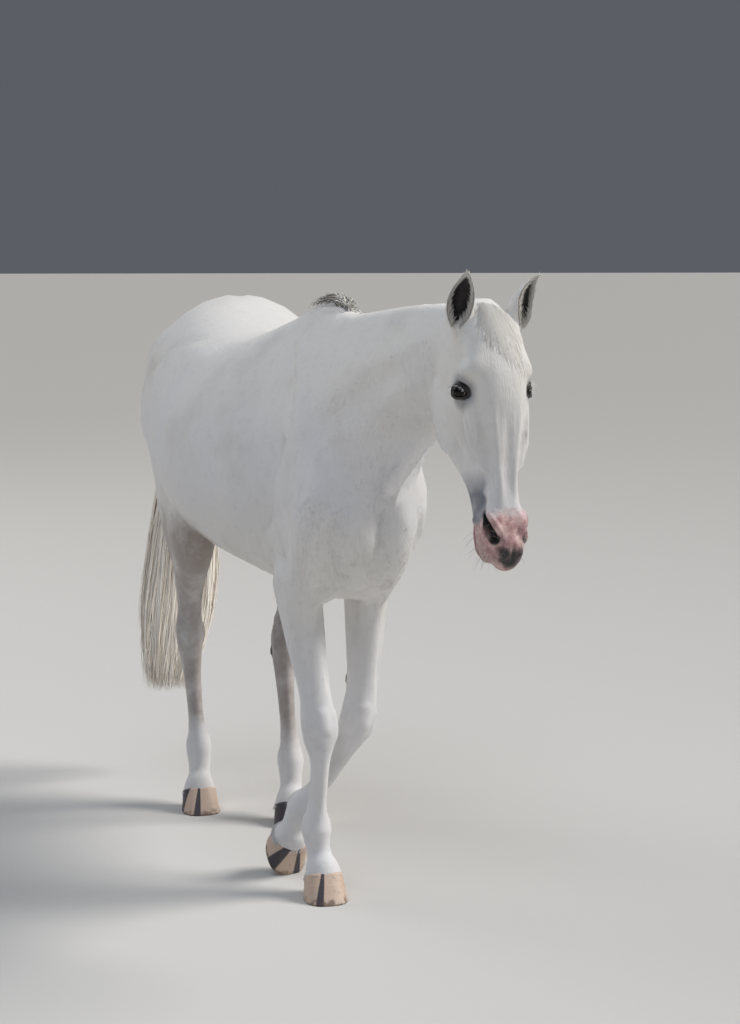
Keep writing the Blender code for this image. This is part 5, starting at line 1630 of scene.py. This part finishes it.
coat_tufts("jaw_tufts", jaw + 1e-9, 1500, .009, .0014, .0007, 25)
coat_tufts("rump_tufts", rump + 1e-9, 1200, .014, .0020, .0006, 26)
clear = np.ones(len(spots))
for foot in ear_feet:
    clear -= sphere_share(spots, foot + np.array([0, 0, .07]), .085, .10)
for centre, *_ in eye_frames:
    clear -= sphere_share(spots, centre, .040, .046)
clear = np.clip(clear, 0, 1)
whole = ((~on_head) * (spots[:, 2] > .12) * 1.0 + on_head * 1.6 * (spot_head[:, 2] > -.46)) * clear
coat_tufts("flat_coat", whole + 1e-9, 14000, .013, .0022, .0001, 27, steps=3, scatter=.12)


# ================================================================ ear hair, lashes and whiskers
# Soft pale hair lines the rim of each ear and curls across its dark hollow. Stiff white lashes slope down
# over the balls, and a few long feelers stand on lips and chin. All are single fine spikes, drawn thicker
# than in life so that they show.
rng = np.random.default_rng(31)
for side, s in (("right", -1), ("left", 1)):
    count = 760
    turn = np.array(head_frame @ ear_stand(s))
    up = rng.beta(1.0, 1.1, count) * .93 + .02
    edge = rng.choice((-1, 1), count)
    wide, roll = ear_width(up), ear_roll(up)
    # most stand close to the rim, and a few well inside it
    angle = edge * (roll - rng.gamma(1.2, .10, count) - .02)
    t = np.linspace(0, 1, 5)[None]
    long = np.interp(up, (0, .3, 1), (.020, .017, .008)) * rng.uniform(.6, 1.2, count)
    inside = wide - .0040
    start = np.stack([np.sin(angle) * inside, np.cos(angle) * inside, up * EAR_LENGTH], axis=1)
    start[:, :2] += ear_bend(up)
    toward = np.stack([-np.sin(angle) * .8 + edge * .25, -np.cos(angle) * .55, np.full(count, .75)], axis=1)
    toward = unit(toward + rng.normal(0, .22, (count, 3)))
    paths = start[:, None] + (toward * long[:, None])[:, None] * t[..., None]
    paths = paths + np.array([0, 0, 1]) * (.006 * t ** 2)[..., None]
    paths = paths @ turn[:3, :3].T + turn[:3, 3]
    facing = unit(np.stack([-np.sin(angle), -np.cos(angle) - .6, np.zeros(count)], axis=1)) @ turn[:3, :3].T
    thin = .0010 * (1 - .5 * t) * rng.uniform(.6, 1.3, (count, 1))
    long_hair(side + "_ear_hair", white_hair, paths, facing, thin, .0006, rng.random(count),
              rng.random(count) * .08 + .34 * (roll - np.abs(angle) > .26))

# --- lashes, angled down over the ball from the upper lid
for side, (centre, gaze, corner, upward) in zip(("right", "left"), eye_frames):
    count = 46
    angle = np.radians(rng.uniform(18, 168, count))
    ball = (corner * (np.cos(angle) * .0228)[:, None] + upward * (np.sin(angle) * .0150)[:, None])
    high = np.sqrt((EYE_RADIUS + .0040) ** 2 - (ball ** 2).sum(axis=1))
    start = centre + ball + gaze * high[:, None]
    way = gaze * .9 + corner * (np.cos(angle) * .55)[:, None] + upward * .22
    way = unit(way + rng.normal(0, .10, (count, 3)))
    t = np.linspace(0, 1, 6)[None]
    long = rng.uniform(.008, .013, count)[:, None]
    paths = start[:, None] + way[:, None] * (long * t)[..., None] - upward * (long * .55 * t ** 2)[..., None]
    long_hair(side + "_lashes", white_hair, paths, np.tile(upward, (count, 1)), .0007 * (1 - .6 * t), .0005,
              rng.random(count) * .4, np.zeros(count))

# --- whiskers on the lips and the chin
count = 64
spread = rng.uniform(-1, 1, count)
low = rng.random(count)
back = np.where(low < .5, .035 * rng.random(count), -.060 + .05 * rng.random(count))
start = np.stack([spread * .046, back, -.52 - .085 * rng.random(count)], axis=1)
turn = np.array(head_frame)
start = start @ turn[:3, :3].T + turn[:3, 3]
roots, ways_out = [], []
for point in start:
    hit, way, _, _ = skin_tree.find_nearest(point)
    roots.append(hit)
    ways_out.append(way)
roots, ways_out = np.array(roots), np.array(ways_out)
t = np.linspace(0, 1, 6)[None]
long = rng.uniform(.012, .034, count)[:, None]
way = unit(ways_out + np.array([0, -.1, -.45]) + rng.normal(0, .12, (count, 3)))
paths = (roots[:, None] + way[:, None] * (long * t)[..., None]
         + np.array([0, 0, -.35]) * (long * t ** 2)[..., None])
long_hair("whiskers", white_hair, paths, np.tile([0, -1.0, 0], (count, 1)), .0008 * (1 - .6 * t), .0006,
          rng.random(count) * .5, rng.random(count) * .3)

# ================================================================ the stage
# Not part of the horse: a plain pale floor, soft studio light that is strongest from the side of the left
# shoulder, and the camera.
bm = bmesh.new()
bmesh.ops.create_grid(bm, x_segments=1, y_segments=1, size=400)
floor = as_object(bm, "floor")
paper = bpy.data.materials.new("matt_floor")
paper.use_nodes = True
paper.node_tree.nodes["Principled BSDF"].inputs["Base Color"].default_value = (.62, .61, .59, 1)
paper.node_tree.nodes["Principled BSDF"].inputs["Roughness"].default_value = .9
floor.data.materials.append(paper)

world = bpy.data.worlds.new("studio")
world.use_nodes = True
world.node_tree.nodes["Background"].inputs["Color"].default_value = (.80, .86, 1.0, 1)
world.node_tree.nodes["Background"].inputs["Strength"].default_value = .13
bpy.context.scene.world = world


def soft_light(name, place, target, size, watts, colour):
    lamp = bpy.data.lights.new(name, "AREA")
    lamp.size = size
    lamp.energy = watts
    lamp.color = colour
    obj = bpy.data.objects.new(name, lamp)
    obj.matrix_world = (Matrix.Translation(place)
                        @ (Vector(place) - Vector(target)).to_track_quat("Z", "Y").to_matrix().to_4x4())
    bpy.context.scene.collection.objects.link(obj)


soft_light("overhead", (-2.5, -1.5, 9.0), (0, 0, 1.0), 7.0, 240, (.82, .89, 1))
soft_light("front", (-5.0, -9.0, 6.0), (0, 0, 1.0), 6.0, 55, (.82, .89, 1))
soft_light("back", (-6.0, 8.0, 6.5), (0, 0, 1.2), 5.0, 220, (1, .98, .95))
key = bpy.data.lights.new("key", "SUN")
key.angle = math.radians(24)
key.energy = 2.7
key.color = (1, .97, .93)
key_lamp = bpy.data.objects.new("key", key)
key_lamp.matrix_world = Vector((8.5, -2.2, 8.5)).to_track_quat("Z", "Y").to_matrix().to_4x4()
bpy.context.scene.collection.objects.link(key_lamp)

lens = bpy.data.cameras.new("camera")
lens.lens = 70
camera = bpy.data.objects.new("camera", lens)
heading, dip = math.radians(20), math.radians(7.07)
aim = Matrix.Rotation(-heading, 4, "Z") @ Matrix.Rotation(math.pi / 2 - dip, 4, "X")
camera.matrix_world = Matrix.Translation(Vector((-1.787, -5.192, 1.73)) + SHIFT) @ aim
bpy.context.scene.collection.objects.link(camera)
bpy.context.scene.camera = camera
bpy.context.scene.view_settings.view_transform = "Standard"
